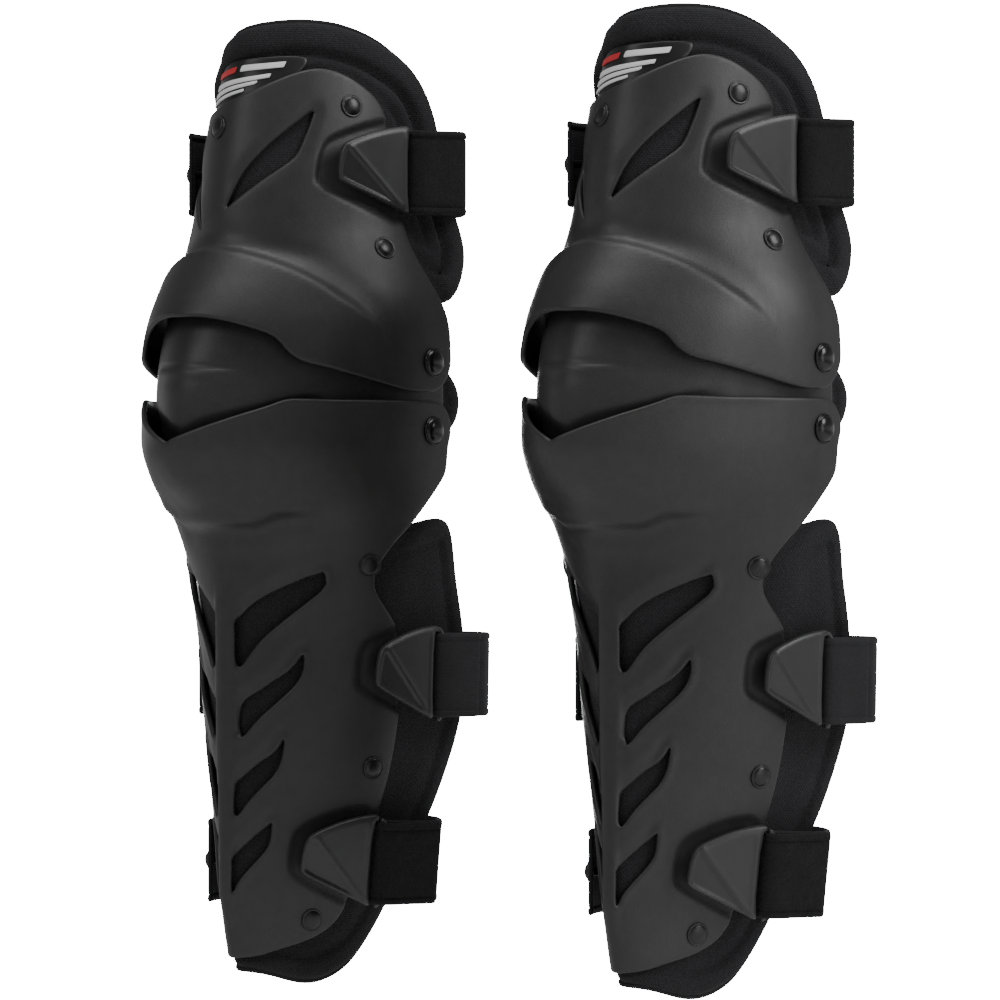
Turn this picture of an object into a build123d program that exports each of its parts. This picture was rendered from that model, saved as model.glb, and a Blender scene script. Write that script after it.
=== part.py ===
from build123d import *
import math
import os

os.makedirs("parts", exist_ok=True)

# A pair of hinged knee and shin guards. Millimetres, +Z up, the front of each guard faces -Y,
# +X is the wearer's left. Each guard is drawn about its own centre plane with Z = 0 midway between
# its two knee pivots, and is then placed at X = -PAIR_X or +PAIR_X.

PAIR_X = 120.0          # half the distance between the two guards' centre planes
WALL = 3.0              # moulded shell wall
PAD_T = 9.0             # foam pad thickness
PAD_GAP = 1.2           # shell to pad
PIVOT_Z = 17.0          # height of the upper pivot, and minus that of the lower one
EAR_R = 15.0            # radius of the ears round the pivots
PIN_R = 3.0             # pivot rivet shank
PIN_CLEAR = 0.06        # running clearance of a shell's ear on the shank
CAP_R = 6.0             # rivet cap
STRAP_W = 42.0          # webbing width
STRAP_T = 2.2           # webbing thickness

# Sections: Z, half width, centre Y, depth from the centre to the front, k (0.55 round, less is keener)
THIGH = [
    (192, 42, 10, 64, 0.44), (165, 46, 9, 68, 0.44), (140, 50, 8, 72, 0.44), (112, 54, 6, 76, 0.44),
    (85, 57.5, 3, 77, 0.44), (73, 62, 2, 79, 0.43), (62, 67, 1, 86, 0.42), (50, 72, 0, 94, 0.40),
    (35, 76, 0, 102, 0.38), (18, 78, 0, 108, 0.37), (-6, 79, 0, 112, 0.37),
]
CUP = [
    (64, 53, 0, 75, 0.42), (45, 63.5, 0, 89, 0.40), (30, 69.5, 0, 96.5, 0.38), (17, 71, 0, 101, 0.37),
    (0, 71, 0, 105, 0.36), (-17, 71, 0, 105, 0.36), (-30, 69.5, 0, 101, 0.36), (-45, 64, 0, 88, 0.37),
    (-62, 54, 0, 71, 0.38),
]
SHIN = [
    (4, 78, 0, 113, 0.36), (-22, 78, 0, 115, 0.36), (-42, 77, 0, 104, 0.37), (-52, 75.5, 0, 93, 0.38),
    (-64, 72, 0, 80, 0.38), (-81, 68, 0, 72, 0.37), (-101, 64.5, 0, 69.8, 0.36), (-121, 60.8, 0, 69, 0.35),
    (-150, 57.5, 0, 69, 0.34), (-195, 49.5, 0, 69, 0.31), (-240, 38.5, 0, 69, 0.29), (-262, 33.5, 0, 66, 0.30),
    (-298, 27, 0, 58, 0.33),
]


def level(table, z):
    rows = sorted(table)
    if z <= rows[0][0]:
        return rows[0][1:]
    for a, b in zip(rows, rows[1:]):
        if z <= b[0]:
            s = (z - a[0]) / (b[0] - a[0])
            return tuple(p + (q - p) * s for p, q in zip(a[1:], b[1:]))
    return rows[-1][1:]


def flank(table, z, y, grow=0.0):
    """X of the right flank at height z and depth y, and the outward normal's angle in plan."""
    w, yc, d, k = level(table, z)
    w, d = w + grow, d + grow
    if y >= yc:
        return w, 0.0
    lo, hi = 0.0, 1.0
    for _ in range(50):
        t = (lo + hi) / 2
        py = yc + (-d * (1 - t) ** 3 - 3 * d * t * (1 - t) ** 2 - 3 * k * d * t * t * (1 - t))
        if py < y:
            lo = t
        else:
            hi = t
    def at(t):
        return (3 * k * w * t * (1 - t) ** 2 + 3 * w * t * t * (1 - t) + w * t ** 3,
                yc - d * (1 - t) ** 3 - 3 * d * t * (1 - t) ** 2 - 3 * k * d * t * t * (1 - t))
    x0, y0 = at(max(t - 0.01, 0))
    x1, y1 = at(min(t + 0.01, 1))
    return at(t)[0], math.degrees(math.atan2(-(x1 - x0), y1 - y0))


def channel(table, grow, rear, low, high):
    """Solid filling the section from low to high, drawn out by grow, and back to Y = rear."""
    zs = sorted({low, high} | {r[0] for r in table if low + 2 < r[0] < high - 2})
    with BuildPart() as made:
        for z in zs:
            w, yc, d, k = level(table, z)
            w, d = w + grow, d + grow
            with BuildSketch(Plane.XY.offset(z)):
                with BuildLine():
                    Bezier((0, yc - d), (k * w, yc - d), (w, yc - k * d), (w, yc))
                    Polyline((w, yc), (w, rear), (-w, rear), (-w, yc))
                    Bezier((-w, yc), (-w, yc - k * d), (-k * w, yc - d), (0, yc - d))
                make_face()
        loft(ruled=True)
    return made.part


def outline(points, radius=0.0):
    """Slab through X whose side view is the closed outline of (Y, Z) points."""
    with BuildPart() as made:
        with BuildSketch(Plane.YZ.offset(-110)):
            with BuildLine():
                Polyline(*points, close=True)
            make_face()
            if radius:
                fillet([v for v in vertices()], radius)
        extrude(amount=220)
    return made.part


def cap_frame(table, z, y, side, lift=0.0, grow=0.0):
    """Plane on the outer surface, its Z pointing out of the shell."""
    x, yaw = flank(table, z, y, grow)
    x2, _ = flank(table, z + 4, y, grow)
    x1, _ = flank(table, z - 4, y, grow)
    tilt = -(x2 - x1) / 8 * math.cos(math.radians(yaw))
    n = Vector(side * math.cos(math.radians(yaw)), math.sin(math.radians(yaw)), tilt).normalized()
    up = Vector(0, 0, 1)
    u = up.cross(n).normalized()
    return Plane(origin=Vector(side * x, y, z) + n * lift, x_dir=u, z_dir=n)


# ---- outlines in side view (Y, Z) ------------------------------------------------------------
def ear(cy, cz, r, a0, a1, n=9):
    return [(cy + r * math.cos(math.radians(a0 + (a1 - a0) * i / (n - 1))),
             cz + r * math.sin(math.radians(a0 + (a1 - a0) * i / (n - 1)))) for i in range(n)]


THIGH_EDGE = ([(-130, 33), (-88, 32), (-76, 29), (-67, 24), (-60, 15), (-52, 11.5)]
              + ear(0, PIVOT_Z, EAR_R, 258, 380)
              + [(17, 35), (15.5, 47), (10, 60), (4.4, 72), (2.8, 85), (2, 112), (0.5, 132), (-5, 146),
                 (-14, 154), (-26, 161), (-40, 163), (-56, 159), (-130, 157)])
SHIN_EDGE = ([(-130, -27.5), (-115, -22), (-69, -1.2), (-50, -1.8)]
             + ear(0, -PIVOT_Z, EAR_R, 95, -20)
             + [(13.5, -36), (9, -44), (0, -54), (-7, -63), (-17, -75), (-23, -89), (-21, -98), (-10, -111),
                (-4, -121), (0, -140), (0.5, -160), (0, -185), (-4, -208), (-9, -240), (-13, -256), (-21, -267),
                (-32, -273), (-52, -277), (-130, -280)])
CUP_EDGE = ([(-130, 60), (-70, 60), (-50, 52), (-30, 40), (-8, 34)] + [(10, 30), (16, 20), (18, 0), (16, -20), (10, -30)]
            + [(-8, -34), (-30, -40), (-50, -50), (-66, -58), (-130, -58)])
THIGH_PAD_EDGE = [(-130, 68), (-60, 68), (-36, 60), (-14, 50), (8, 46), (20, 48), (31, 56.5), (40, 66), (45, 76), (46, 85),
                  (42, 98), (37, 112), (37, 132), (34, 146), (30, 156), (21, 168), (6, 177), (-12, 183.6), (-32, 187.5), (-130, 187.5)]
KNEE_PAD_EDGE = [(-130, 46), (-60, 46), (-32, 34), (-6, 27), (8, 22), (26, 8), (30, -2), (26, -14), (8, -23), (-6, -28),
                 (-32, -34), (-60, -44), (-130, -44)]
SHIN_PAD_EDGE = [(-130, -72), (-50, -72), (-20, -66), (4, -60), (18, -62), (26, -74), (34, -96), (45, -116), (50, -140),
                 (50, -165), (43, -190), (35, -214), (24, -238), (12, -262), (-2, -281), (-18, -290), (-32, -292.5),
                 (-46, -289), (-60, -284), (-130, -282)]

# ---- shells ----------------------------------------------------------------------------------
# side, height, depth
RIVETS_THIGH = [(1, 145, -21), (-1, 134, -63.6), (1, 74, -15), (-1, 72, -15)]
RIVETS_SHIN = [(s, z, y) for z, y in ((-84, -26), (-185, -12), (-261, -31)) for s in (1, -1)]
ANCHORS = {"thigh": (THIGH, 112, -34), "upper_shin": (SHIN, -139, -6), "lower_shin": (SHIN, -232, -38)}


def fixed_end(name):
    """Where a strap's fixed end lies on the left flank: X offsets at its tip, rivet and rear, and the rivet's depth."""
    table, z, y = ANCHORS[name]
    half = STRAP_W / 2
    far = lambda depth: max(flank(table, z + dz, depth)[0] for dz in (-half, 0, half))
    return far(y - 8) + 2.9, far(y) + 3.1, far((y + 6) / 2) + 3.9, y


def anchor_axis(name):
    """Point on the strap's middle at its rivet, the strap's outward normal there, and the depth to the shell's inner face."""
    table, z, _ = ANCHORS[name]
    lx, la, lm, y = fixed_end(name)
    run = Vector(-lx + lm, (y - 8) - (y + 6) / 2, 0).normalized()
    n = Vector(run.Y, -run.X, 0)
    depth = 0.0
    while depth < 20:
        p = Vector(-la, y, z) - n * depth
        x, yaw = flank(table, z, p.Y)
        if (x + p.X) * math.cos(math.radians(yaw)) >= WALL:
            break
        depth += 0.05
    return Vector(-la, y, z), n, depth


def anchor_hole(name, r):
    """Hole through the left flank, for the rivet of a strap's fixed end."""
    at, n, depth = anchor_axis(name)
    with BuildPart(mode=Mode.PRIVATE) as tool:
        with BuildSketch(Plane(origin=at - n * (depth + 3), x_dir=(0, 0, 1), z_dir=n)):
            Circle(r)
        extrude(amount=30)
    return tool.part


def drill(target_plane, r, depth):
    """Cylinder along a cap's axis, both ways."""
    with BuildPart(mode=Mode.PRIVATE) as tool:
        with BuildSketch(target_plane.offset(-depth)):
            Circle(r)
        extrude(amount=depth + 6)
    return tool.part


# slot outlines in front view (X, Z), one half
SLOT = [(4, 94.5), (7.5, 105.5), (12.5, 114.6), (19.4, 125), (25.7, 132.9), (31.3, 140.3), (33.3, 143.3), (32.9, 136),
        (31.8, 128.7), (31, 122), (29.4, 118.3), (24.5, 112.8), (19.2, 108.5), (13.5, 103), (5.8, 96.9)]
VENTS = [
    [(6.7, -112), (15, -103), (24.5, -97.2), (37.1, -91.6), (43.5, -87.3), (43.2, -94.5), (34.7, -103.3), (25.9, -111.7),
     (18.6, -119.2), (13.6, -125.5), (8.6, -133.5), (7.7, -124.7)],
    [(10.5, -150.9), (19.3, -145.1), (26.7, -138.1), (31.4, -131.3), (33.4, -128.4), (33, -136.6), (30.4, -142.9),
     (23.1, -151.6), (15.5, -159.6), (9, -168.6), (9.4, -159.6)],
    [(7.6, -190.8), (13.7, -185), (19.9, -178.8), (23.3, -173.4), (24.7, -170.5), (23.6, -179.9), (21.3, -187.2),
     (15.6, -194.4), (10.4, -201), (6.4, -207.8), (7.3, -198.8)],
    [(4, -230), (8.7, -224.2), (13.5, -219.1), (17.2, -213.6), (18.3, -212.6), (17.2, -222.8), (14.1, -228.6),
     (9.1, -235.4), (5.4, -241.6), (3.7, -246), (4.8, -238)],
]

with BuildPart() as thigh_shell:
    add(channel(THIGH, 0, 26, -6, 178))
    add(channel(THIGH, -WALL, 40, -12, 190), mode=Mode.SUBTRACT)
    add(outline(THIGH_EDGE), mode=Mode.INTERSECT)
    # two slanted vents, one each side of the centre line
    for s in (1, -1):
        with BuildSketch(Plane.XZ):
            with BuildLine():
                Polyline(*[(x, z) if s > 0 else (-x - 9, z - 10) for x, z in SLOT], close=True)
            make_face()
        extrude(amount=120, mode=Mode.SUBTRACT)
    # the top edge is higher on the strap side
    with BuildSketch(Plane.XZ):
        with BuildLine():
            Polyline((-80, 210), (-80, 136), (-45, 139), (-14.7, 143.3), (-6.5, 146), (8, 151.3), (19.4, 158), (31, 164.5), (31, 210), close=True)
        make_face()
    extrude(amount=120, both=True, mode=Mode.SUBTRACT)
    for s, z, y in RIVETS_THIGH:
        add(drill(cap_frame(THIGH, z, y, s), PIN_R - 1 + 0.1, 8), mode=Mode.SUBTRACT)
    with Locations((0, 0, PIVOT_Z)):
        Cylinder(PIN_R + PIN_CLEAR, 200, rotation=(0, 90, 0), mode=Mode.SUBTRACT)
    add(anchor_hole("thigh", 2.1), mode=Mode.SUBTRACT)
thigh_shell.part.label = "thigh_shell"

with BuildPart() as knee_cup:
    add(channel(CUP, 0, 26, -62, 64))
    add(channel(CUP, -WALL, 40, -66, 68), mode=Mode.SUBTRACT)
    add(outline(CUP_EDGE), mode=Mode.INTERSECT)
    for z in (PIVOT_Z, -PIVOT_Z):
        with Locations((0, 0, z)):
            Cylinder(PIN_R, 200, rotation=(0, 90, 0), mode=Mode.SUBTRACT)
knee_cup.part.label = "knee_cup"

with BuildPart() as shin_shell:
    add(channel(SHIN, 0, 26, -290, 4))
    add(channel(SHIN, -WALL, 40, -298, 12), mode=Mode.SUBTRACT)
    add(outline(SHIN_EDGE), mode=Mode.INTERSECT)
    for vent in VENTS:
        for s in (1, -1):
            with BuildSketch(Plane.XZ):
                with BuildLine():
                    Polyline(*[(s * x, z) for x, z in vent], close=True)
                make_face()
            extrude(amount=120, mode=Mode.SUBTRACT)
    for s, z, y in RIVETS_SHIN:
        add(drill(cap_frame(SHIN, z, y, s), PIN_R - 1 + 0.1, 8), mode=Mode.SUBTRACT)
    with Locations((0, 0, -PIVOT_Z)):
        Cylinder(PIN_R + PIN_CLEAR, 200, rotation=(0, 90, 0), mode=Mode.SUBTRACT)
    add(anchor_hole("upper_shin", 2.1), mode=Mode.SUBTRACT)
    add(anchor_hole("lower_shin", 2.1), mode=Mode.SUBTRACT)
shin_shell.part.label = "shin_shell"


# ---- pads ------------------------------------------------------------------------------------
def pad(table, low, high, edge, rear, holes, under, top=None):
    outer = -(under + PAD_GAP)
    with BuildPart() as made:
        add(channel(table, outer, rear, low, high))
        add(channel(table, outer - PAD_T, rear + 12, low - 4, high + 4), mode=Mode.SUBTRACT)
        add(outline(edge), mode=Mode.INTERSECT)
        for s, z, y in holes:
            add(drill(cap_frame(table, z, y, s), PIN_R - 1 + 0.3, 22), mode=Mode.SUBTRACT)
        if top:
            with BuildSketch(Plane.XZ):
                with BuildLine():
                    Polyline(*top, close=True)
                make_face()
            extrude(amount=120, both=True, mode=Mode.SUBTRACT)
    return made


# the thigh pad's top slopes down away from the strap side
thigh_pad = pad(THIGH, 40, 190, THIGH_PAD_EDGE, 60, RIVETS_THIGH, WALL,
                [(-80, 210), (-80, 146), (-45, 158), (-27, 168), (-14, 173.5), (-4, 177), (4, 181), (12, 185), (24, 189), (24, 210)])
thigh_pad.part.label = "thigh_pad"
knee_pad = pad(CUP, -52, 52, KNEE_PAD_EDGE, 60, [], WALL)
knee_pad.part.label = "knee_pad"
shin_pad = pad(SHIN, -296, -50, SHIN_PAD_EDGE, 72, RIVETS_SHIN, WALL)
shin_pad.part.label = "shin_pad"


# ---- rivets ----------------------------------------------------------------------------------
def rivet(plane, shank, r_shank, r_cap, cap_h):
    """Domed cap standing on the plane, with its shank going in."""
    with BuildPart(mode=Mode.PRIVATE) as made:
        Cylinder(r_cap, cap_h, align=(Align.CENTER, Align.CENTER, Align.MIN))
        fillet(made.edges().sort_by(Axis.Z)[-1], cap_h * 0.75)
        Cylinder(r_shank, shank, align=(Align.CENTER, Align.CENTER, Align.MAX))
    return plane.location * made.part


def group(shapes, name):
    made = Compound(children=list(shapes)) if len(shapes) > 1 else shapes[0]
    made.label = name
    return made


thigh_rivets = [rivet(cap_frame(THIGH, z, y, s, 0.6), 9.0, PIN_R - 1, CAP_R, 2.6) for s, z, y in RIVETS_THIGH]
shin_rivets = [rivet(cap_frame(SHIN, z, y, s, 0.6), 9.0, PIN_R - 1, CAP_R, 2.6) for s, z, y in RIVETS_SHIN]


def pivots(z, table):
    made = []
    for s in (1, -1):
        x = max(level(table, z + dz)[0] for dz in (-CAP_R - 1, 0, CAP_R + 1)) + 0.2
        p = Plane(origin=(s * x, 0, z), x_dir=(0, s, 0), z_dir=(s, 0, 0))
        made.append(rivet(p, x - (71 - WALL) - 0.0, PIN_R, CAP_R + 0.6, 3.6))
    return made


upper_pivots = pivots(PIVOT_Z, THIGH)
lower_pivots = pivots(-PIVOT_Z, SHIN)


def spacers(z, table):
    """Loose washers on the shanks that hold a shell's ear off the cup."""
    made = []
    for s in (1, -1):
        gap = min(level(table, z + dz)[0] for dz in (-7, 0, 7)) - WALL - 71 - 0.3
        with BuildPart(mode=Mode.PRIVATE) as w:
            with BuildSketch(Plane.YZ.offset(s * (71 + 0.1))):
                with Locations((0, z)):
                    Circle(6.8)
                    Circle(PIN_R + 0.05, mode=Mode.SUBTRACT)
            extrude(amount=s * (gap - 0.1))
        made.append(w.part)
    return made


upper_spacers = spacers(PIVOT_Z, THIGH)
lower_spacers = spacers(-PIVOT_Z, SHIN)


# ---- straps ----------------------------------------------------------------------------------
def band(points, z, height, thick=STRAP_T, tangents=None):
    """Webbing standing on edge: a smooth run through plan points, extruded up."""
    with BuildPart(mode=Mode.PRIVATE) as made:
        with BuildSketch(Plane.XY.offset(z - height / 2)):
            n = len(points)
            out, inn = [], []
            for i, (x, y) in enumerate(points):
                ax, ay = points[max(i - 1, 0)]
                bx, by = points[min(i + 1, n - 1)]
                tx, ty = bx - ax, by - ay
                q = math.hypot(tx, ty)
                nx, ny = ty / q * thick / 2, -tx / q * thick / 2
                out.append((x + nx, y + ny))
                inn.append((x - nx, y - ny))
            with BuildLine():
                Spline(*out)
                Line(out[-1], inn[-1])
                Spline(*reversed(inn))
                Line(inn[0], out[0])
            make_face()
        extrude(amount=height)
    return made.part


# name: table, centre height, the tab's tip and root depth, loop reach, corner, back depth, left anchor depth
STRAPS = {
    "thigh": (THIGH, 112, -39, 6, 27, 76),
    "upper_shin": (SHIN, -139, -22, 19, 24, 84),
    "lower_shin": (SHIN, -232, -42, -7, 30, 66),
}
TAB_T = 4.0
TAB_LIFT = 3.6
straps, loops, tabs, studs, anchors, hinges = {}, {}, {}, {}, {}, {}
for name, (table, zc, y_tip, y_root, reach, back) in STRAPS.items():
    half = STRAP_W / 2
    x_tip = max(flank(table, zc + dz, y_tip)[0] for dz in (-half, 0, half)) + TAB_LIFT
    x_root = max(flank(table, zc + dz, y_root)[0] for dz in (-half, 0, half)) + TAB_LIFT
    length = math.hypot(x_root - x_tip, y_root - y_tip)
    u = Vector((x_root - x_tip) / length, (y_root - y_tip) / length, 0)
    n = Vector(u.Y, -u.X, 0)
    # local frame of the tab: x runs back towards the webbing, y is up, z is outwards
    frame = Plane(origin=(x_tip, y_tip, zc), x_dir=u, z_dir=n)
    with BuildPart(mode=Mode.PRIVATE) as tab:
        with BuildSketch(Plane.XY):
            with BuildLine():
                Polyline((0, -3), (1.5, 12), (7, 15.5), (length * 0.6, 22), (length + 3, 24), (length + 3, -24),
                         (length * 0.72, -18), (length * 0.33, -10.6), (2, -5.4), close=True)
            make_face()
            fillet(vertices(), 1)
        extrude(amount=TAB_T)
        # raised triangular thumb facet at the tip
        with BuildSketch(Plane.XY.offset(TAB_T)):
            with BuildLine():
                Polyline((2.4, -2), (3.4, 9), (length * 0.62, -14), (length * 0.34, -8.6), close=True)
            make_face()
        extrude(amount=0.8, taper=20)
        # slot for the webbing near the root
        with BuildSketch(Plane.XY):
            with Locations((length - 3.5, 0)):
                Rectangle(5, STRAP_W + 1.2)
        extrude(amount=TAB_T, mode=Mode.SUBTRACT)
        # socket for the stud
        with BuildSketch(Plane.XY):
            with Locations((13, 1)):
                Circle(4.4)
        extrude(amount=2.6, mode=Mode.SUBTRACT)
    tabs[name] = frame.location * tab.part
    with BuildPart(mode=Mode.PRIVATE) as stud:
        with BuildSketch(Plane.XY.offset(2.2)):
            with Locations((13, 1)):
                Circle(3.4)
        extrude(amount=-40)
        add(frame.location.inverse() * channel(table, 0.4, 40, zc - 32, zc + 32), mode=Mode.SUBTRACT)
    studs[name] = frame.location * max(stud.part.solids(), key=lambda v: v.center().Z)

    # webbing that loops through the tab's slot round its bar, and back on itself
    end = length + reach
    with BuildPart(mode=Mode.PRIVATE) as loop:
        with BuildSketch(Plane.XZ.offset(-half)):
            with BuildLine():
                Polyline((length - 4.6, 0.8), (length - 3.2, -2.2), (length + 4, -2.2), (length + 12, -0.6), (end, -0.6),
                         (end, 4.4), (length + 12, 5.6), (length + 4, 6.6), (length - 3.2, 6.6), (length - 4.6, 3.4), close=True)
            make_face()
            with BuildLine():
                Polyline((length - 1.3, -0.3), (length + 3.3, -0.3), (length + 3.3, 4.3), (length - 1.3, 4.3), close=True)
            make_face(mode=Mode.SUBTRACT)
        extrude(amount=STRAP_W)
    loops[name] = frame.location * loop.part
    # the hinge line where the loop bends away from the leg, on the webbing's outer face
    h = frame.origin + u * (end + 0.2) + n * 4.4
    hinges[name] = (h.X, h.Y)

    # rear run round the leg to its fixed end on the left flank
    q = frame.origin + u * (end + 0.6) + n * 1.9
    cx, cy = q.X, q.Y
    lx, la, lm, y_a = fixed_end(name)
    lw = max(level(table, zc + dz)[0] for dz in (-half, 0, half)) + 3.4
    out = max(lw + 3, cx - 6)
    run = [(cx, cy), (cx * 0.99, cy + 6), (cx * 0.80, cy + (back - cy) * 0.60), (cx * 0.48, back - 4), (0, back),
           (-out * 0.62, back - 4), (-out * 0.95, (cy + back) / 2), (-out, cy * 0.6), (-lw, 6), (-lm, (y_a + 6) / 2), (-la, y_a), (-lx, y_a - 8)]
    straps[name] = band(run, zc, STRAP_W)
    straps[name] = straps[name] - anchor_hole(name, 2.1)
    at, n_a, deep = anchor_axis(name)
    face = STRAP_T / 2 + 0.9
    anchors[name] = rivet(Plane(origin=at + n_a * face, x_dir=(0, 0, 1), z_dir=n_a), face + deep - 0.2, 2.0, 5.0, 2.2)
    print(name, "length", round(length, 2), "origin", [round(v, 2) for v in frame.origin], "u", [round(v, 4) for v in u],
          "hinge", [round(v, 2) for v in hinges[name]], "la", round(la, 2), "lx", round(lx, 2), "lw", round(lw, 2), "out", round(out, 2), "lm", round(lm, 2), "axis", [round(v, 3) for v in n_a], round(deep, 2))

# rubber badge on the front of the thigh pad, showing above the shell
badge_out = -(WALL + PAD_GAP)
with BuildPart() as thigh_badge:
    add(channel(THIGH, badge_out + 1.05, 26, 140, 180))
    add(channel(THIGH, badge_out + 0.2, 40, 136, 184), mode=Mode.SUBTRACT)
    with BuildSketch(Plane.XZ):
        with BuildLine():
            Polyline((-27, 146), (10, 147), (21, 160), (24, 169), (-19, 169), close=True)
        make_face()
        fillet(vertices(), 2)
    extrude(amount=120, mode=Mode.INTERSECT)
thigh_badge.part.label = "thigh_badge"

os.makedirs("parts", exist_ok=True)
PIECES = {
    "thigh_shell": thigh_shell.part, "knee_cup": knee_cup.part, "shin_shell": shin_shell.part,
    "thigh_pad": thigh_pad.part, "knee_pad": knee_pad.part, "shin_pad": shin_pad.part,
    "thigh_rivets": group(thigh_rivets, "thigh_rivets"), "shin_rivets": group(shin_rivets, "shin_rivets"),
    "upper_pivot_rivets": group(upper_pivots, "upper_pivot_rivets"), "lower_pivot_rivets": group(lower_pivots, "lower_pivot_rivets"),
    "upper_pivot_washers": group(upper_spacers, "upper_pivot_washers"), "lower_pivot_washers": group(lower_spacers, "lower_pivot_washers"),
}
PIECES["thigh_badge"] = thigh_badge.part
PIECES["thigh_strap_rivet"] = anchors["thigh"]
PIECES["shin_strap_rivets"] = group([anchors["upper_shin"], anchors["lower_shin"]], "shin_strap_rivets")
for name in STRAPS:
    PIECES[name + "_tab"] = tabs[name]
    PIECES[name + "_stud"] = studs[name]
    PIECES[name + "_strap"] = straps[name]
    PIECES[name + "_strap_loop"] = loops[name]
for side, dx in (("left", -PAIR_X), ("right", PAIR_X)):
    for name, shape in PIECES.items():
        moved = Pos(dx, 0, 0) * shape
        moved.label = f"{side}_{name}"
        export_step(moved, f"parts/{side}_{name}.step")
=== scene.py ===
import math

import bpy
import numpy as np
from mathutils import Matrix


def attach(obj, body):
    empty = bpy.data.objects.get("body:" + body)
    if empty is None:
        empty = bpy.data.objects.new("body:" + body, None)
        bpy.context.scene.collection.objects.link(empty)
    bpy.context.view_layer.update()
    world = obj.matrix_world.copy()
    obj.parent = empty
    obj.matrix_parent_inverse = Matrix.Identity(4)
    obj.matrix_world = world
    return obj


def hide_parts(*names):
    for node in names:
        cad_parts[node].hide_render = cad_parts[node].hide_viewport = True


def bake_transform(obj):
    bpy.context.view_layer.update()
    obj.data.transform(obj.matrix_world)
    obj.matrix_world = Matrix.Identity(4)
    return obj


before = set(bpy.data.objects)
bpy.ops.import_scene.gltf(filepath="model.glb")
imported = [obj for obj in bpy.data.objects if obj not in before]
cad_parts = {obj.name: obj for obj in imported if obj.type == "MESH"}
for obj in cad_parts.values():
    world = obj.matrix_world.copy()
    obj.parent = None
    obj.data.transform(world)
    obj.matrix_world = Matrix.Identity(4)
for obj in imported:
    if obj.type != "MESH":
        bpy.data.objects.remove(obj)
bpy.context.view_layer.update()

MM = 0.001
PAIR_X = 120.0
WALL = 3.0
RNG = np.random.default_rng(7)

# ------------------------------------------------------------------ section families (mm)
THIGH = [
    (192, 42, 10, 64, 0.44), (165, 46, 9, 68, 0.44), (140, 50, 8, 72, 0.44), (112, 54, 6, 76, 0.44),
    (85, 57.5, 3, 77, 0.44), (73, 62, 2, 79, 0.43), (62, 67, 1, 86, 0.42), (50, 72, 0, 94, 0.40),
    (35, 76, 0, 102, 0.38), (18, 78, 0, 108, 0.37), (-6, 79, 0, 112, 0.37)]
CUP = [
    (64, 53, 0, 75, 0.42), (45, 63.5, 0, 89, 0.40), (30, 69.5, 0, 96.5, 0.38), (17, 71, 0, 101, 0.37),
    (0, 71, 0, 105, 0.36), (-17, 71, 0, 105, 0.36), (-30, 69.5, 0, 101, 0.36), (-45, 64, 0, 88, 0.37),
    (-62, 54, 0, 71, 0.38)]
SHIN = [
    (4, 78, 0, 113, 0.36), (-22, 78, 0, 115, 0.36), (-42, 77, 0, 104, 0.37), (-52, 75.5, 0, 93, 0.38),
    (-64, 72, 0, 80, 0.38), (-81, 68, 0, 72, 0.37), (-101, 64.5, 0, 69.8, 0.36), (-121, 60.8, 0, 69, 0.35),
    (-150, 57.5, 0, 69, 0.34), (-195, 49.5, 0, 69, 0.31), (-240, 38.5, 0, 69, 0.29), (-262, 33.5, 0, 66, 0.30),
    (-298, 27, 0, 58, 0.33)]


def pchip(xs, ys, x):
    h = np.diff(xs)
    d = np.diff(ys) / h
    m = np.zeros(len(xs))
    m[0], m[-1] = d[0], d[-1]
    for i in range(1, len(xs) - 1):
        if d[i - 1] * d[i] > 0:
            w1, w2 = 2 * h[i] + h[i - 1], h[i] + 2 * h[i - 1]
            m[i] = (w1 + w2) / (w1 / d[i - 1] + w2 / d[i])
    x = np.clip(x, xs[0], xs[-1])
    i = np.clip(np.searchsorted(xs, x) - 1, 0, len(xs) - 2)
    t = (x - xs[i]) / h[i]
    return (ys[i] * (2 * t**3 - 3 * t**2 + 1) + m[i] * h[i] * (t**3 - 2 * t**2 + t)
            + ys[i + 1] * (-2 * t**3 + 3 * t**2) + m[i + 1] * h[i] * (t**3 - t**2))


def step(x):
    x = np.clip(x, 0.0, 1.0)
    return x * x * (3 - 2 * x)


def soften(v, sigma):
    n = int(sigma * 3) + 1
    k = np.exp(-0.5 * (np.arange(-n, n + 1) / sigma) ** 2)
    k /= k.sum()
    p = np.concatenate([2 * v[0] - v[n:0:-1], v, 2 * v[-1] - v[-2:-n - 2:-1]])
    return np.convolve(p, k, mode="valid")


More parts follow.
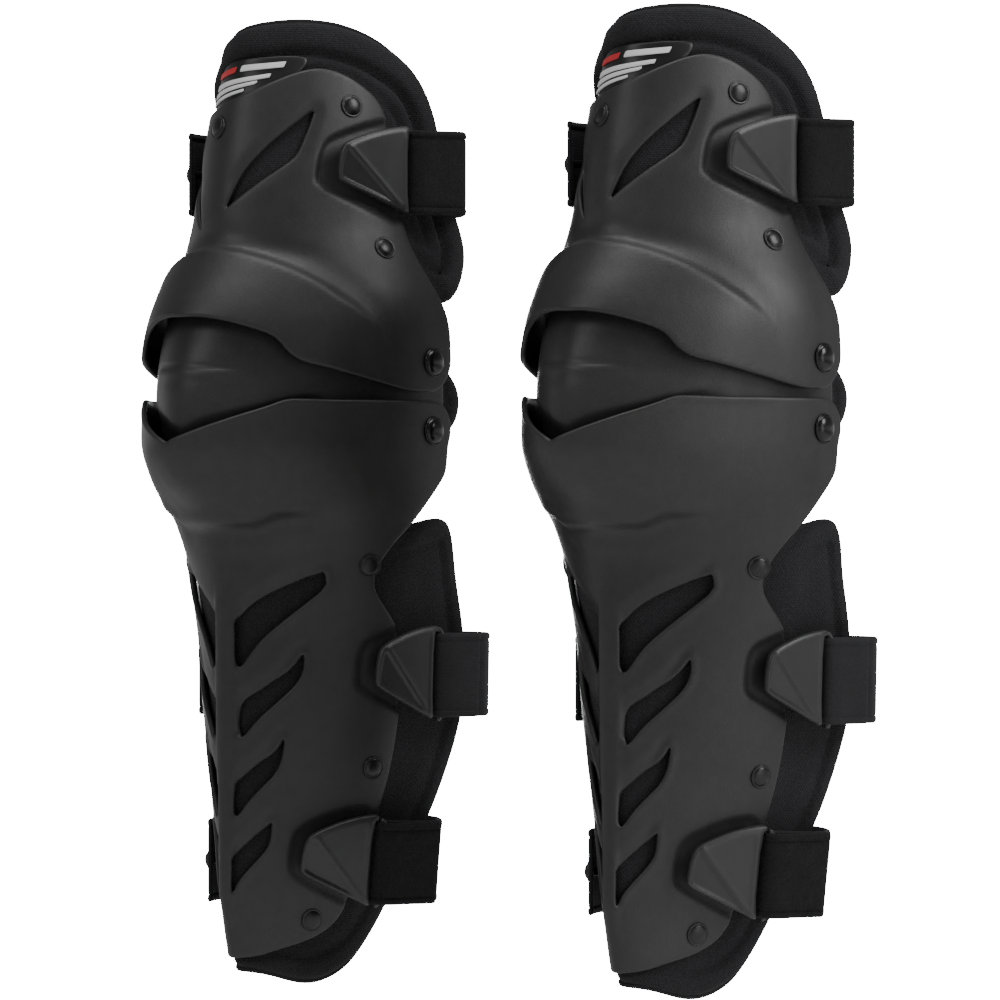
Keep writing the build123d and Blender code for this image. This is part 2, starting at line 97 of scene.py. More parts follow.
class Surf:
    """Arc length a from the front centre line (right positive) and height z give a point of the section family."""

    def __init__(self, table, sigma=2.5):
        r = np.array(sorted(table), float)
        zs = r[:, 0]
        self.z0, self.dz, self.da = zs[0] - 14, 1.0, 0.5
        Z = np.arange(self.z0, zs[-1] + 15, self.dz)
        A = np.arange(0, 225, self.da)
        W, YC, D, K = [soften(pchip(zs, r[:, i], Z), sigma)[:, None] for i in range(1, 5)]
        t = np.linspace(0, 1, 200)[None, :]
        x = 3 * K * W * t * (1 - t) ** 2 + 3 * W * t * t * (1 - t) + W * t**3
        y = YC - D * (1 - t) ** 3 - 3 * D * t * (1 - t) ** 2 - 3 * K * D * t * t * (1 - t)
        x, y = np.hstack([x, W]), np.hstack([y, YC + 170])
        run = np.hstack([np.zeros((len(Z), 1)), np.cumsum(np.hypot(np.diff(x, axis=1), np.diff(y, axis=1)), axis=1)])
        self.X = np.array([np.interp(A, run[i], x[i]) for i in range(len(Z))])
        self.Y = np.array([np.interp(A, run[i], y[i]) for i in range(len(Z))])
        self.A, self.Z = A, Z

    def raw(self, a, z):
        a, z = np.asarray(a, float), np.asarray(z, float)
        side, q = np.where(a < 0, -1.0, 1.0), np.abs(a)
        i = np.clip((z - self.z0) / self.dz, 0, len(self.Z) - 1.001)
        j = np.clip(q / self.da, 0, len(self.A) - 1.001)
        i0, j0 = i.astype(int), j.astype(int)
        u, v = i - i0, j - j0
        mix = lambda T: (T[i0, j0] * (1 - u) * (1 - v) + T[i0 + 1, j0] * u * (1 - v)
                         + T[i0, j0 + 1] * (1 - u) * v + T[i0 + 1, j0 + 1] * u * v)
        return np.stack([side * mix(self.X), mix(self.Y), z], axis=-1)

    def normal(self, a, z, e=1.4):
        da = self.raw(a + e, z) - self.raw(a - e, z)
        dz = self.raw(a, z + e) - self.raw(a, z - e)
        n = np.cross(da, dz)
        return n / np.linalg.norm(n, axis=-1, keepdims=True)

    def at(self, a, z, lift=0.0):
        return self.raw(a, z) + self.normal(a, z) * np.asarray(lift)[..., None]

    def arc(self, y, z):
        """Arc length at which the right half passes depth y."""
        A = np.linspace(0, 222, 1600)
        out = []
        for yy, zz in zip(y, z):
            Y = self.raw(A, np.full_like(A, zz))[:, 1]
            out.append(0.0 if yy <= Y[0] else float(np.interp(yy, Y, A)))
        return np.array(out)


ST, SC, SS = Surf(THIGH), Surf(CUP), Surf(SHIN)


# ------------------------------------------------------------------ outlines and trimming
def rounded(points, times=2):
    p = np.array(points, float)
    for _ in range(times):
        q = np.roll(p, -1, axis=0)
        p = np.stack([p * 0.75 + q * 0.25, p * 0.25 + q * 0.75], axis=1).reshape(-1, 2)
    return p


def open_rounded(points, times=2):
    p = np.array(points, float)
    for _ in range(times):
        a, b = p[:-1], p[1:]
        mid = np.stack([a * 0.75 + b * 0.25, a * 0.25 + b * 0.75], axis=1).reshape(-1, 2)
        p = np.vstack([p[:1], mid, p[-1:]])
    return p


def both_sides(right):
    """Closed outline from the right half's points, which run from one centre-line point to the other."""
    r = np.array(right, float)
    left = r[::-1] * np.array([-1.0, 1.0])
    keep = np.abs(left[:, 0]) > 1e-6
    return np.vstack([r, left[keep]])


def from_side(surf, points, times=2):
    """Right-half outline given in side view (depth, height), as arc lengths and heights."""
    p = open_rounded(points, times)
    d = []
    for a, b in zip(p[:-1], p[1:]):
        n = max(1, int(np.hypot(*(b - a)) / 4))
        d += [a + (b - a) * i / n for i in range(n)]
    d = np.array(d + [p[-1]])
    a = surf.arc(d[:, 0], d[:, 1])
    a[0] = a[-1] = 0.0
    first, last = int(np.argmax(a > 0.01)), len(a) - int(np.argmax(a[::-1] > 0.01))
    out = np.stack([a, d[:, 1]], axis=1)[max(first - 1, 0):last + 1]
    out[0, 0] = out[-1, 0] = 0.0
    return both_sides(out)


def distance(P, poly):
    """Signed distance to a closed outline, negative inside."""
    a, b = poly, np.roll(poly, -1, axis=0)
    keep = np.linalg.norm(b - a, axis=1) > 1e-9
    a, b = a[keep], b[keep]
    best = np.full(len(P), 1e9)
    inside = np.zeros(len(P), bool)
    for p, q in zip(a, b):
        e = q - p
        w = P - p
        t = np.clip((w @ e) / (e @ e), 0, 1)
        best = np.minimum(best, np.hypot(w[:, 0] - t * e[0], w[:, 1] - t * e[1]))
        if p[1] != q[1]:
            hit = (p[1] > P[:, 1]) != (q[1] > P[:, 1])
            inside ^= hit & (P[:, 0] < (q[0] - p[0]) * (P[:, 1] - p[1]) / (q[1] - p[1]) + p[0])
    return np.where(inside, -best, best)


def region(outer, holes=(), inset=0.0):
    def f(P):
        d = distance(P, outer)
        for h in holes:
            d = np.maximum(d, -distance(P, h))
        return d + inset
    return f


def trim(f, low, high, h):
    """Grid over the box, cut exactly along f = 0: points and faces, counter-clockwise."""
    na, nz = int(math.ceil((high[0] - low[0]) / h)), int(math.ceil((high[1] - low[1]) / h))
    A, Z = np.meshgrid(np.linspace(low[0], high[0], na + 1), np.linspace(low[1], high[1], nz + 1), indexing="ij")
    P = np.stack([A.ravel(), Z.ravel()], axis=1)
    D = f(P)
    for _ in range(2):
        near = np.where((np.abs(D) < 0.40 * h) & (np.abs(D) > 1e-9))[0]
        if not len(near):
            break
        e = 0.05 * h
        g = np.stack([f(P[near] + [e, 0]) - f(P[near] - [e, 0]), f(P[near] + [0, e]) - f(P[near] - [0, e])], axis=1) / (2 * e)
        g /= np.maximum(np.linalg.norm(g, axis=1, keepdims=True), 0.5)
        P[near] -= D[near, None] * g
        left = f(P[near])
        D[near] = np.where(np.abs(left) < 0.12 * h, 0.0, left)
    pts, faces, cut = [tuple(p) for p in P], [], {}

    def crossing(i, j):
        key = (min(i, j), max(i, j))
        if key not in cut:
            a, b = key
            t = D[a] / (D[a] - D[b])
            cut[key] = len(pts)
            pts.append(tuple(P[a] + (P[b] - P[a]) * t))
        return cut[key]

    sgn = np.where(D < 0, -1, np.where(D > 0, 1, 0))
    idx = np.arange((na + 1) * (nz + 1)).reshape(na + 1, nz + 1)
    quads = np.stack([idx[:-1, :-1], idx[1:, :-1], idx[1:, 1:], idx[:-1, 1:]], axis=-1).reshape(-1, 4)
    qs = sgn[quads]
    whole = (qs <= 0).all(1) & (qs < 0).any(1)
    faces = [list(q) for q in quads[whole]]
    part = (qs > 0).any(1) & (qs < 0).any(1)
    for q in quads[part]:
        out = []
        for k in range(4):
            i, j = q[k], q[(k + 1) % 4]
            if sgn[i] <= 0:
                out.append(i)
            if sgn[i] * sgn[j] < 0:
                out.append(crossing(i, j))
        if len(out) >= 3:
            faces.append(out)
    used = sorted({i for q in faces for i in q})
    new = {v: k for k, v in enumerate(used)}
    return np.array([pts[i] for i in used]), [[new[i] for i in q] for q in faces]


def rims(faces):
    edges = {}
    for q in faces:
        for i in range(len(q)):
            edges[(q[i], q[(i + 1) % len(q)])] = True
    nxt = {}
    for (i, j) in edges:
        if (j, i) not in edges:
            nxt.setdefault(i, []).append(j)
    loops = []
    while nxt:
        start = next(iter(nxt))
        loop, at = [start], start
        while True:
            to = nxt[at].pop()
            if not nxt[at]:
                del nxt[at]
            if to == start:
                break
            loop.append(to)
            at = to
            if at not in nxt:
                break
        if len(loop) > 2:
            loops.append(loop)
    return loops


def thick(points, normals, faces, depth, outset, rings=5, under=None):
    """Closed body from an outer skin: its inner skin lies depth below it, and the rims are rounded outwards."""
    n = len(points)
    depth = np.broadcast_to(np.asarray(depth, float), (n,))
    inner = points - normals * depth[:, None] if under is None else under
    verts = [points, inner]
    out = [list(q) for q in faces] + [[i + n for i in q[::-1]] for q in faces]
    base = 2 * n
    for loop in rims(faces):
        L = np.array(loop)
        p = points[L]
        t = np.roll(p, -1, axis=0) - np.roll(p, 1, axis=0)
        t /= np.maximum(np.linalg.norm(t, axis=1, keepdims=True), 1e-9)
        o = np.cross(t, normals[L])
        o /= np.maximum(np.linalg.norm(o, axis=1, keepdims=True), 1e-9)
        q = inner[L]
        prev = L
        for k in range(1, rings + 1):
            th = math.pi * k / (rings + 1)
            ring = p + (q - p) * (1 - math.cos(th)) / 2 + o * outset * math.sin(th)
            verts.append(ring)
            cur = np.arange(base, base + len(L))
            base += len(L)
            m = len(L)
            out += [[int(prev[i]), int(cur[i]), int(cur[(i + 1) % m]), int(prev[(i + 1) % m])] for i in range(m)]
            prev = cur
        cur = L + n
        m = len(L)
        out += [[int(prev[i]), int(cur[i]), int(cur[(i + 1) % m]), int(prev[(i + 1) % m])] for i in range(m)]
    return np.vstack(verts), out


def skin_normals(surf, a, z, lift_fn, e=0.8):
    def at(a_, z_):
        return surf.at(a_, z_, lift_fn(a_, z_))
    da = at(a + e, z) - at(a - e, z)
    dz = at(a, z + e) - at(a, z - e)
    n = np.cross(da, dz)
    return at(a, z), n / np.maximum(np.linalg.norm(n, axis=-1, keepdims=True), 1e-9)


# ------------------------------------------------------------------ objects
SIDES = (("left", -PAIR_X), ("right", PAIR_X))


def put(name, data, material, body, replaces=(), shift=True):
    """One object for each guard, from points in mm and faces."""
    verts, faces = data
    made = []
    for side, dx in SIDES:
        me = bpy.data.meshes.new(f"{side}_{name}")
        v = (np.asarray(verts) + np.array([dx, 0, 0])) * MM
        me.from_pydata(v.tolist(), [], faces)
        me.validate(clean_customdata=False)
        me.polygons.foreach_set("use_smooth", [True] * len(me.polygons))
        me.materials.append(material)
        o = bpy.data.objects.new(f"{side}_{name}", me)
        bpy.context.collection.objects.link(o)
        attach(o, f"{side}_{body}")
        if replaces:
            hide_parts(*[f"{side}_{r}" for r in replaces])
        made.append(o)
    return made


def join(parts):
    verts, faces, base = [], [], 0
    for v, f in parts:
        verts.append(v)
        faces += [[i + base for i in q] for q in f]
        base += len(v)
    return np.vstack(verts), faces


# ------------------------------------------------------------------ materials
def nodes_of(name):
    m = bpy.data.materials.new(name)
    m.use_nodes = True
    nt = m.node_tree
    b = nt.nodes["Principled BSDF"]
    return m, nt, b


def coords(nt, scale=(1, 1, 1), rot=(0, 0, 0)):
    c = nt.nodes.new("ShaderNodeTexCoord")
    mp = nt.nodes.new("ShaderNodeMapping")
    mp.inputs["Scale"].default_value = scale
    mp.inputs["Rotation"].default_value = rot
    nt.links.new(c.outputs["Object"], mp.inputs["Vector"])
    return mp.outputs["Vector"]


def noise(nt, vec, scale, detail=3.0, rough=0.55):
    n = nt.nodes.new("ShaderNodeTexNoise")
    n.inputs["Scale"].default_value = scale
    n.inputs["Detail"].default_value = detail
    n.inputs["Roughness"].default_value = rough
    nt.links.new(vec, n.inputs["Vector"])
    return n.outputs["Fac"]


def ramp(nt, fac, stops):
    r = nt.nodes.new("ShaderNodeValToRGB")
    e = r.color_ramp.elements
    e[0].position, e[0].color = stops[0][0], (*stops[0][1], 1) if len(stops[0][1]) == 3 else stops[0][1]
    e[1].position, e[1].color = stops[-1][0], (*stops[-1][1], 1) if len(stops[-1][1]) == 3 else stops[-1][1]
    for p, c in stops[1:-1]:
        k = e.new(p)
        k.color = (*c, 1)
    nt.links.new(fac, r.inputs["Fac"])
    return r.outputs["Color"]


def grey(v):
    return (v, v, v)


def rng_map(nt, fac, lo, hi, a=0.0, b=1.0):
    m = nt.nodes.new("ShaderNodeMapRange")
    m.inputs["From Min"].default_value = a
    m.inputs["From Max"].default_value = b
    m.inputs["To Min"].default_value = lo
    m.inputs["To Max"].default_value = hi
    nt.links.new(fac, m.inputs["Value"])
    return m.outputs["Result"]


def math_node(nt, op, x, y=None):
    m = nt.nodes.new("ShaderNodeMath")
    m.operation = op
    for i, v in enumerate((x, y)):
        if v is None:
            continue
        if isinstance(v, (int, float)):
            m.inputs[i].default_value = v
        else:
            nt.links.new(v, m.inputs[i])
    return m.outputs[0]


def bump(nt, b, heights):
    """heights: list of (height output, strength, distance in m)."""
    prev = None
    for h, s, d in heights:
        n = nt.nodes.new("ShaderNodeBump")
        n.inputs["Strength"].default_value = s
        n.inputs["Distance"].default_value = d
        nt.links.new(h, n.inputs["Height"])
        if prev:
            nt.links.new(prev, n.inputs["Normal"])
        prev = n.outputs["Normal"]
    nt.links.new(prev, b.inputs["Normal"])


def plastic(name, dark, light, rough, grain=0.25, sheen=0.0):
    m, nt, b = nodes_of(name)
    v = coords(nt)
    broad = noise(nt, v, 14, 4, 0.6)
    fine = noise(nt, v, 900, 3, 0.6)
    mid = noise(nt, v, 160, 3, 0.5)
    mix = math_node(nt, "ADD", math_node(nt, "MULTIPLY", broad, 0.7), math_node(nt, "MULTIPLY", mid, 0.3))
    nt.links.new(ramp(nt, mix, [(0.32, dark), (0.68, light)]), b.inputs["Base Color"])
    scuff = noise(nt, coords(nt, (1, 1, 0.25)), 60, 6, 0.75)
    r = math_node(nt, "ADD", rng_map(nt, broad, rough - 0.05, rough + 0.06), rng_map(nt, scuff, -0.05, 0.05, 0.3, 0.7))
    nt.links.new(r, b.inputs["Roughness"])
    bump(nt, b, [(fine, grain, 0.00025), (mid, 0.10, 0.0004)])
    b.inputs["Specular IOR Level"].default_value = 0.4
    return m


def fabric(name, dark, light, pitch=0.0011, strength=0.7, fuzz=0.35, rough=0.9, axis_mix=0.5):
    """Knitted or woven cloth: two crossed waves in object space, with fibre noise."""
    m, nt, b = nodes_of(name)
    v = coords(nt)
    n1 = noise(nt, v, 22, 3, 0.6)
    fibre = noise(nt, v, 2200, 2, 0.7)
    cell = nt.nodes.new("ShaderNodeTexVoronoi")
    cell.inputs["Scale"].default_value = 1 / (pitch * 1.25)
    nt.links.new(v, cell.inputs["Vector"])
    waves = []
    for direction in ("Z", "DIAGONAL"):
        w = nt.nodes.new("ShaderNodeTexWave")
        w.wave_type = "BANDS"
        w.bands_direction = direction
        w.inputs["Scale"].default_value = 0.314 / pitch
        w.inputs["Distortion"].default_value = 0.5
        w.inputs["Detail"].default_value = 1.0
        w.inputs["Detail Scale"].default_value = 2.0
        nt.links.new(v, w.inputs["Vector"])
        waves.append(w.outputs["Fac"])
    weave = math_node(nt, "MULTIPLY", waves[0], waves[1])
    weave = math_node(nt, "ADD", math_node(nt, "MULTIPLY", weave, 0.6), math_node(nt, "MULTIPLY", cell.outputs["Distance"], 0.6))
    tone = math_node(nt, "ADD", math_node(nt, "MULTIPLY", weave, 0.55), math_node(nt, "MULTIPLY", n1, 0.45))
    nt.links.new(ramp(nt, tone, [(0.2, dark), (0.75, light)]), b.inputs["Base Color"])
    nt.links.new(rng_map(nt, n1, rough - 0.06, rough + 0.05), b.inputs["Roughness"])
    bump(nt, b, [(weave, strength, 0.0006), (fibre, fuzz, 0.0004)])
    b.inputs["Sheen Weight"].default_value = 0.06
    b.inputs["Sheen Roughness"].default_value = 0.45
    b.inputs["Sheen Tint"].default_value = (0.5, 0.5, 0.55, 1)
    b.inputs["Specular IOR Level"].default_value = 0.25
    return m


def webbing(name, dark, light, fuzzy=False):
    m, nt, b = nodes_of(name)
    v = coords(nt)
    w = nt.nodes.new("ShaderNodeTexWave")
    w.wave_type, w.bands_direction = "BANDS", "Z"
    w.inputs["Scale"].default_value = 0.314 / 0.0014
    w.inputs["Distortion"].default_value = 0.8
    w.inputs["Detail"].default_value = 1.5
    nt.links.new(v, w.inputs["Vector"])
    n1 = noise(nt, v, 40, 4, 0.65)
    fibre = noise(nt, v, 1500, 4, 0.75)
    tone = math_node(nt, "ADD", math_node(nt, "MULTIPLY", fibre, 0.6), math_node(nt, "MULTIPLY", n1, 0.4))
    nt.links.new(ramp(nt, tone, [(0.35, dark), (0.68, light)]), b.inputs["Base Color"])
    nt.links.new(rng_map(nt, n1, 0.84, 0.98), b.inputs["Roughness"])
    if fuzzy:
        bump(nt, b, [(fibre, 1.0, 0.0012), (noise(nt, v, 500, 3, 0.7), 0.8, 0.001)])
    else:
        bump(nt, b, [(w.outputs["Fac"], 0.18, 0.0004), (fibre, 0.25, 0.0003)])
    b.inputs["Sheen Weight"].default_value = 0.08
    b.inputs["Sheen Roughness"].default_value = 0.5
    b.inputs["Sheen Tint"].default_value = (0.5, 0.5, 0.55, 1)
    b.inputs["Specular IOR Level"].default_value = 0.25
    return m


M_SHELL = plastic("shell_plastic", (0.017, 0.0165, 0.0165), (0.026, 0.0255, 0.0255), 0.44)
M_TAB = plastic("tab_rubber", (0.020, 0.020, 0.0205), (0.028, 0.028, 0.0285), 0.36, grain=0.12)
M_RIVET = plastic("rivet_cap", (0.005, 0.005, 0.0055), (0.009, 0.009, 0.010), 0.30, grain=0.03)
M_PIVOT = plastic("pivot_cap", (0.003, 0.003, 0.0035), (0.006, 0.006, 0.0065), 0.2, grain=0.02)
M_PAD = fabric("pad_cloth", (0.007, 0.007, 0.0078), (0.022, 0.022, 0.024))
M_EDGE = fabric("pad_binding", (0.008, 0.008, 0.0088), (0.020, 0.020, 0.022), pitch=0.0007, strength=0.5)
M_WEB = webbing("strap_webbing", (0.010, 0.010, 0.011), (0.024, 0.024, 0.026))
M_FUZZ = webbing("hook_and_loop", (0.003, 0.003, 0.0035), (0.014, 0.014, 0.015), fuzzy=True)
M_THREAD = fabric("stitch_thread", (0.012, 0.012, 0.013), (0.03, 0.03, 0.032), pitch=0.0004, strength=0.4)
M_BADGE = plastic("badge_rubber", (0.008, 0.008, 0.008), (0.012, 0.012, 0.012), 0.35, grain=0.1)
M_WHITE = plastic("badge_white", (0.62, 0.62, 0.63), (0.72, 0.72, 0.73), 0.45, grain=0.1)
M_RED = plastic("badge_red", (0.42, 0.02, 0.025), (0.55, 0.03, 0.035), 0.45, grain=0.1)
M_STEEL, _nt, _b = nodes_of("washer_steel")
_b.inputs["Metallic"].default_value = 1.0
_v = coords(_nt)
_n = noise(_nt, _v, 300, 4)
_nt.links.new(ramp(_nt, _n, [(0.3, grey(0.32)), (0.7, grey(0.48))]), _b.inputs["Base Color"])
_nt.links.new(rng_map(_nt, _n, 0.25, 0.42), _b.inputs["Roughness"])


# ------------------------------------------------------------------ shells
def near_line(pts, a, z):
    """Height of a line (a list of arc length, height) at |a|."""
    p = np.array(pts, float)
    return np.interp(np.abs(a), p[:, 0], p[:, 1])


RIDGE = [(0, 74.2), (8, 73.6), (16, 72.4), (24, 70.4), (32, 68.1), (41, 65.3), (50, 62.2), (59, 58.6), (67, 55.2),
         (75, 51.3), (84, 47.2), (92, 42.8), (100, 37.8), (106, 32.5), (110, 27), (116, 18)]


def thigh_lift(a, z):
    r = near_line(RIDGE, a, z)
    fade = 1 - step((np.abs(a) - 70) / 46)
    ch = np.clip((r + 1.2 - z) / 4.4, 0, 1)
    up = 3.3 * fade * (0.65 * ch + 0.35 * step(ch))
    # the band is a little dished between its ridge and the rim
    up = up - 0.5 * fade * np.exp(-(((z - (r + 38) / 2) / 9.0) ** 2))
    # shallow valley above the ridge
    up = up - 0.9 * fade * np.exp(-(((z - r - 6.5) / 5.0) ** 2))
    d = distance(np.stack([a.ravel(), z.ravel()], axis=1), POCKET_1).reshape(np.shape(a))
    up = up - 1.7 * (1 - step((d + 0.4) / 2.6))
    # keen crease on each side of the slot
    d = np.minimum(distance(np.stack([a.ravel(), z.ravel()], axis=1), LEAF),
                   distance(np.stack([a.ravel(), z.ravel()], axis=1), LEAF_L)).reshape(np.shape(a))
    up = up - 1.0 * (1 - step(d / 7.0)) * step((z - 96) / 14)
    return up


def pocket(surf, o, L, tilt=0.0, grow=3.2):
    """Recess round a tab: its outline on the surface, let out a little."""
    a0 = float(surf.arc([o[1]], [o[2]])[0])
    pts = [(0, -3), (1.5, 12), (7, 15.8), (L * 0.6, 22), (L + 3, 24), (L + 3, -24), (L * 0.72, -18), (L * 0.33, -10.6), (2, -5.4)]
    c = np.array([L * 0.6, 0.0])
    out = []
    for p in np.array(pts, float):
        v = p - c
        q = p + v / np.linalg.norm(v) * grow
        out.append((a0 + q[0], o[2] + q[1]))
    return rounded(out[::-1], 2)


POCKET_1 = pocket(ST, (46.92, -39, 112), 46.95)
LEAF = rounded([(3.4, 93.6), (4.0, 96.5), (7.6, 105.5), (13.1, 114.6), (21.5, 124.2), (30.1, 132.0), (38.6, 139.0), (42.4, 142.0),
                (42.9, 141.6), (41.6, 135.4), (39.7, 128.5), (38.0, 122.4), (35.4, 118.3), (28.0, 112.8), (21.0, 108.2), (14.2, 102.8), (5.8, 95.6)], 1)
LEAF_L = LEAF[::-1] * np.array([-1.0, 1.0]) + np.array([-12.0, -10.0])


def thigh_outline():
    low = [(0, 38.0), (6, 38.2), (12, 37.9), (22.7, 36.2), (36, 32.8), (46, 29.8), (51.5, 26.4), (57, 20.8), (64.4, 16.5), (77.6, 13.9),
           (91, 10.9), (108, 6.9), (123, 3.3), (133, 2.0)]
    ca, cz = float(ST.arc([0], [17])[0]), 17.0
    ear = [(ca + 15 * math.cos(math.radians(t)), cz + 15 * math.sin(math.radians(t))) for t in range(-105, 21, 12)]
    side = [(17, 35), (15.5, 47), (10, 60), (4.4, 72), (2.8, 85), (2, 98), (2, 112), (1.4, 124), (0.5, 132)]
    arcs = ST.arc([p[0] for p in side], [p[1] for p in side])
    rear = [(float(q), p[1]) for q, p in zip(arcs, side)]
    top_r = [(84.9, 139.5), (80.7, 146.8), (73, 153), (60.5, 160), (50.4, 163.3), (41.2, 164.1), (31.3, 161.8), (21.9, 158), (8, 151.6)]
    top_l = [(-6.6, 146.2), (-16, 143.4), (-30, 141.0), (-45, 139.6), (-60, 138.6), (-72, 136.5), (-82, 131)]
    left = [(-q, z) for q, z in rear[::-1] if z < 126] + [(-q, z) for q, z in ear[::-1]] + [(-q, z) for q, z in low[::-1] if q > 0]
    return rounded(low + ear + rear + top_r + top_l + left, 2)


def shell(surf, outline, holes, lift, h, wall=WALL, low=None, high=None):
    r = wall / 2
    f = region(outline, holes, r)
    lo, hi = outline.min(axis=0) - 2, outline.max(axis=0) + 2
    pts, faces = trim(f, lo, hi, h)
    P, N = skin_normals(surf, pts[:, 0], pts[:, 1], lift)
    return thick(P, N, faces, wall, r, rings=5)


THIGH_LINE = thigh_outline()
CUP_SIDE = [(-130, 60), (-70, 60), (-50, 52), (-30, 40), (-8, 34), (10, 30), (16, 20), (18, 0), (16, -20), (10, -30),
            (-8, -34), (-30, -40), (-50, -50), (-66, -58), (-130, -58)]
CUP_LINE = from_side(SC, CUP_SIDE, 2)


def shin_outline():
    top = [(0, -23.2), (1.5, -22.6), (5, -20.8), (17, -16.2), (34, -10.4), (51, -5.2), (59, -2.2), (64, -1.2), (88, -1.9), (113, -1.9), (131, -2.0)]
    ca = float(SS.arc([0], [-17])[0])
    ear = [(ca + 15 * math.cos(math.radians(t)), -17 + 15 * math.sin(math.radians(t))) for t in range(96, -21, -12)]
    side = [(13.5, -36), (9, -44), (0, -54), (-7, -63), (-17, -75), (-22.5, -86), (-22.5, -95), (-18, -102), (-10, -111), (-4, -121), (0, -140),
            (0.5, -160), (0, -185), (-4, -208), (-9, -240), (-12, -252), (-16, -261), (-22, -267), (-32, -272), (-46, -276.2)]
    arcs = SS.arc([p[0] for p in side], [p[1] for p in side])
    rear = [(float(q), p[1]) for q, p in zip(arcs, side)]
    low = [(14, -279), (0, -280)]
    return both_sides(open_rounded((top + ear + rear + low), 2)[::-1])


SHIN_LINE = shin_outline()
VENTS = [
    [(6.4, -113.5), (9, -109.5), (15.8, -103.4), (27, -97.4), (43.4, -91.0), (51.6, -87.0), (52.9, -88), (53.0, -94.8), (40.5, -104.0), (29.3, -112.4),
     (20.3, -119.8), (14.4, -126.5), (9.4, -134.0), (7.6, -134.0), (6.6, -124.7)],
    [(9.6, -152.5), (12.5, -150.3), (21.6, -145.1), (31.1, -138.1), (37.4, -131.3), (39.6, -128.2), (40.8, -129), (40.3, -136.6), (36.5, -143.4), (26.7, -152.2),
     (17.2, -160.4), (10.1, -169.2), (8.8, -168.6), (8.9, -159.6)],
    [(7.2, -192.2), (9.4, -190.0), (15.5, -185.0), (23.5, -178.8), (28.0, -173.4), (29.6, -170.2), (30.6, -171.2), (29.4, -179.9), (26.0, -187.6), (18.3, -195.0),
     (11.7, -201.8), (7.2, -208.4), (6.2, -207.8), (6.6, -198.8)],
    [(4.4, -231.5), (6.2, -228.2), (10.1, -224.2), (16.7, -219.0), (22.1, -213.2), (23.6, -211.6), (24.2, -213.0), (23.2, -222.8), (18.2, -229.2), (11.1, -236.2),
     (6.1, -242.4), (4.4, -246.6), (3.6, -245.8), (4.0, -238.0)]]
VENTS = [rounded(v, 1) for v in VENTS]
VENTS_L = [v[::-1] * np.array([-1.0, 1.0]) for v in VENTS]


POCKET_2 = pocket(SS, (57.89, -22, -139), 41.6)
POCKET_3 = pocket(SS, (31.79, -42, -232), 38.69)


def shin_lift(a, z):
    q = np.abs(a)
    flat = np.stack([q.ravel(), z.ravel()], axis=1)
    # raised spine between two stepped panels
    along = step((-92 - z) / 16) * step((z + 268) / 22)
    edge = 5.2 - 2.2 * step((-150 - z) / 100)
    up = 1.15 * along * (1 - step((q - edge) / 1.9))
    for v in VENTS:
        lo, hi = v[np.argmin(v[:, 1])], v[np.argmax(v[:, 1])]
        slope = (hi[1] - lo[1]) / (hi[0] - lo[0])
        above = z - (lo[1] + slope * (q - lo[0])) - 3
        box = (flat[:, 0] < v[:, 0].max() + 14) & (flat[:, 1] > v[:, 1].min() - 14) & (flat[:, 1] < v[:, 1].max() + 16)
        d = np.full(len(flat), 50.0)
        if box.any():
            d[box] = distance(flat[box], v)
        d = d.reshape(np.shape(a))
        # each slot's upper edge dips in, its lower edge stands up a little
        up = up - 1.7 * (1 - step(d / 8.5)) * step(above / 7 + 0.35) * step((q - edge) / 3)
        up = up + 0.55 * np.exp(-((d - 1.6) / 1.5) ** 2) * (1 - step(above / 5 + 0.5))
    p = np.stack([a.ravel(), z.ravel()], axis=1)
    for pocket, deep in ((POCKET_2, 1.8), (POCKET_3, 1.2)):
        box = p[:, 0] > 30
        d = np.full(len(p), 50.0)
        d[box] = distance(p[box], pocket)
        up = up - deep * (1 - step((d.reshape(np.shape(a)) + 0.6) / 3.2))
    # rolled ledge under the knee bowl
    line = -61.0 + 5.5 * step((q - 22) / 20) + 3 * step((q - 45) / 40)
    up = up + 1.5 * np.exp(-((z - line) / 3.4) ** 2) * (1 - step((q - 36) / 40))
    up = up - 1.3 * np.exp(-((z - line + 7.5) / 4.2) ** 2) * (1 - step((q - 36) / 40))
    # lip along the bowl's rim
    rim = np.interp(q, [0, 1.5, 5, 17, 34, 51, 59, 64, 88, 131], [-23.2, -22.6, -20.8, -16.2, -10.4, -5.2, -2.2, -1.2, -1.9, -2.0])
    up = up + 0.45 * np.exp(-((rim - z - 1.2) / 1.6) ** 2) * (1 - step((q - 100) / 20))
    return up


def cup_lift(a, z):
    q = np.abs(a)
    vee = np.interp(q, [0, 4, 14, 41, 58, 75], [-14.6, -13.2, -8.7, -4.0, 0.0, 4.0])
    up = -0.34 * np.clip(vee - z, 0, 9) * (1 - step((q - 60) / 25))
    crease = 15.2 - 0.06 * q
    up = up - 0.9 * np.exp(-((z - crease) / 0.9) ** 2) * (1 - step((q - 20) / 20))
    up = up + 0.7 * np.exp(-((z - crease + 3.2) / 2.6) ** 2) * (1 - step((q - 20) / 22))
    return up


GRID = 1.7
put("thigh_shell_skin", shell(ST, THIGH_LINE, [LEAF, LEAF_L], thigh_lift, GRID), M_SHELL, "thigh", ["thigh_shell"])
put("knee_cup_skin", shell(SC, CUP_LINE, [], cup_lift, GRID), M_SHELL, "cup", ["knee_cup"])
put("shin_shell_skin", shell(SS, SHIN_LINE, VENTS + VENTS_L, shin_lift, GRID), M_SHELL, "shin", ["shin_shell"])


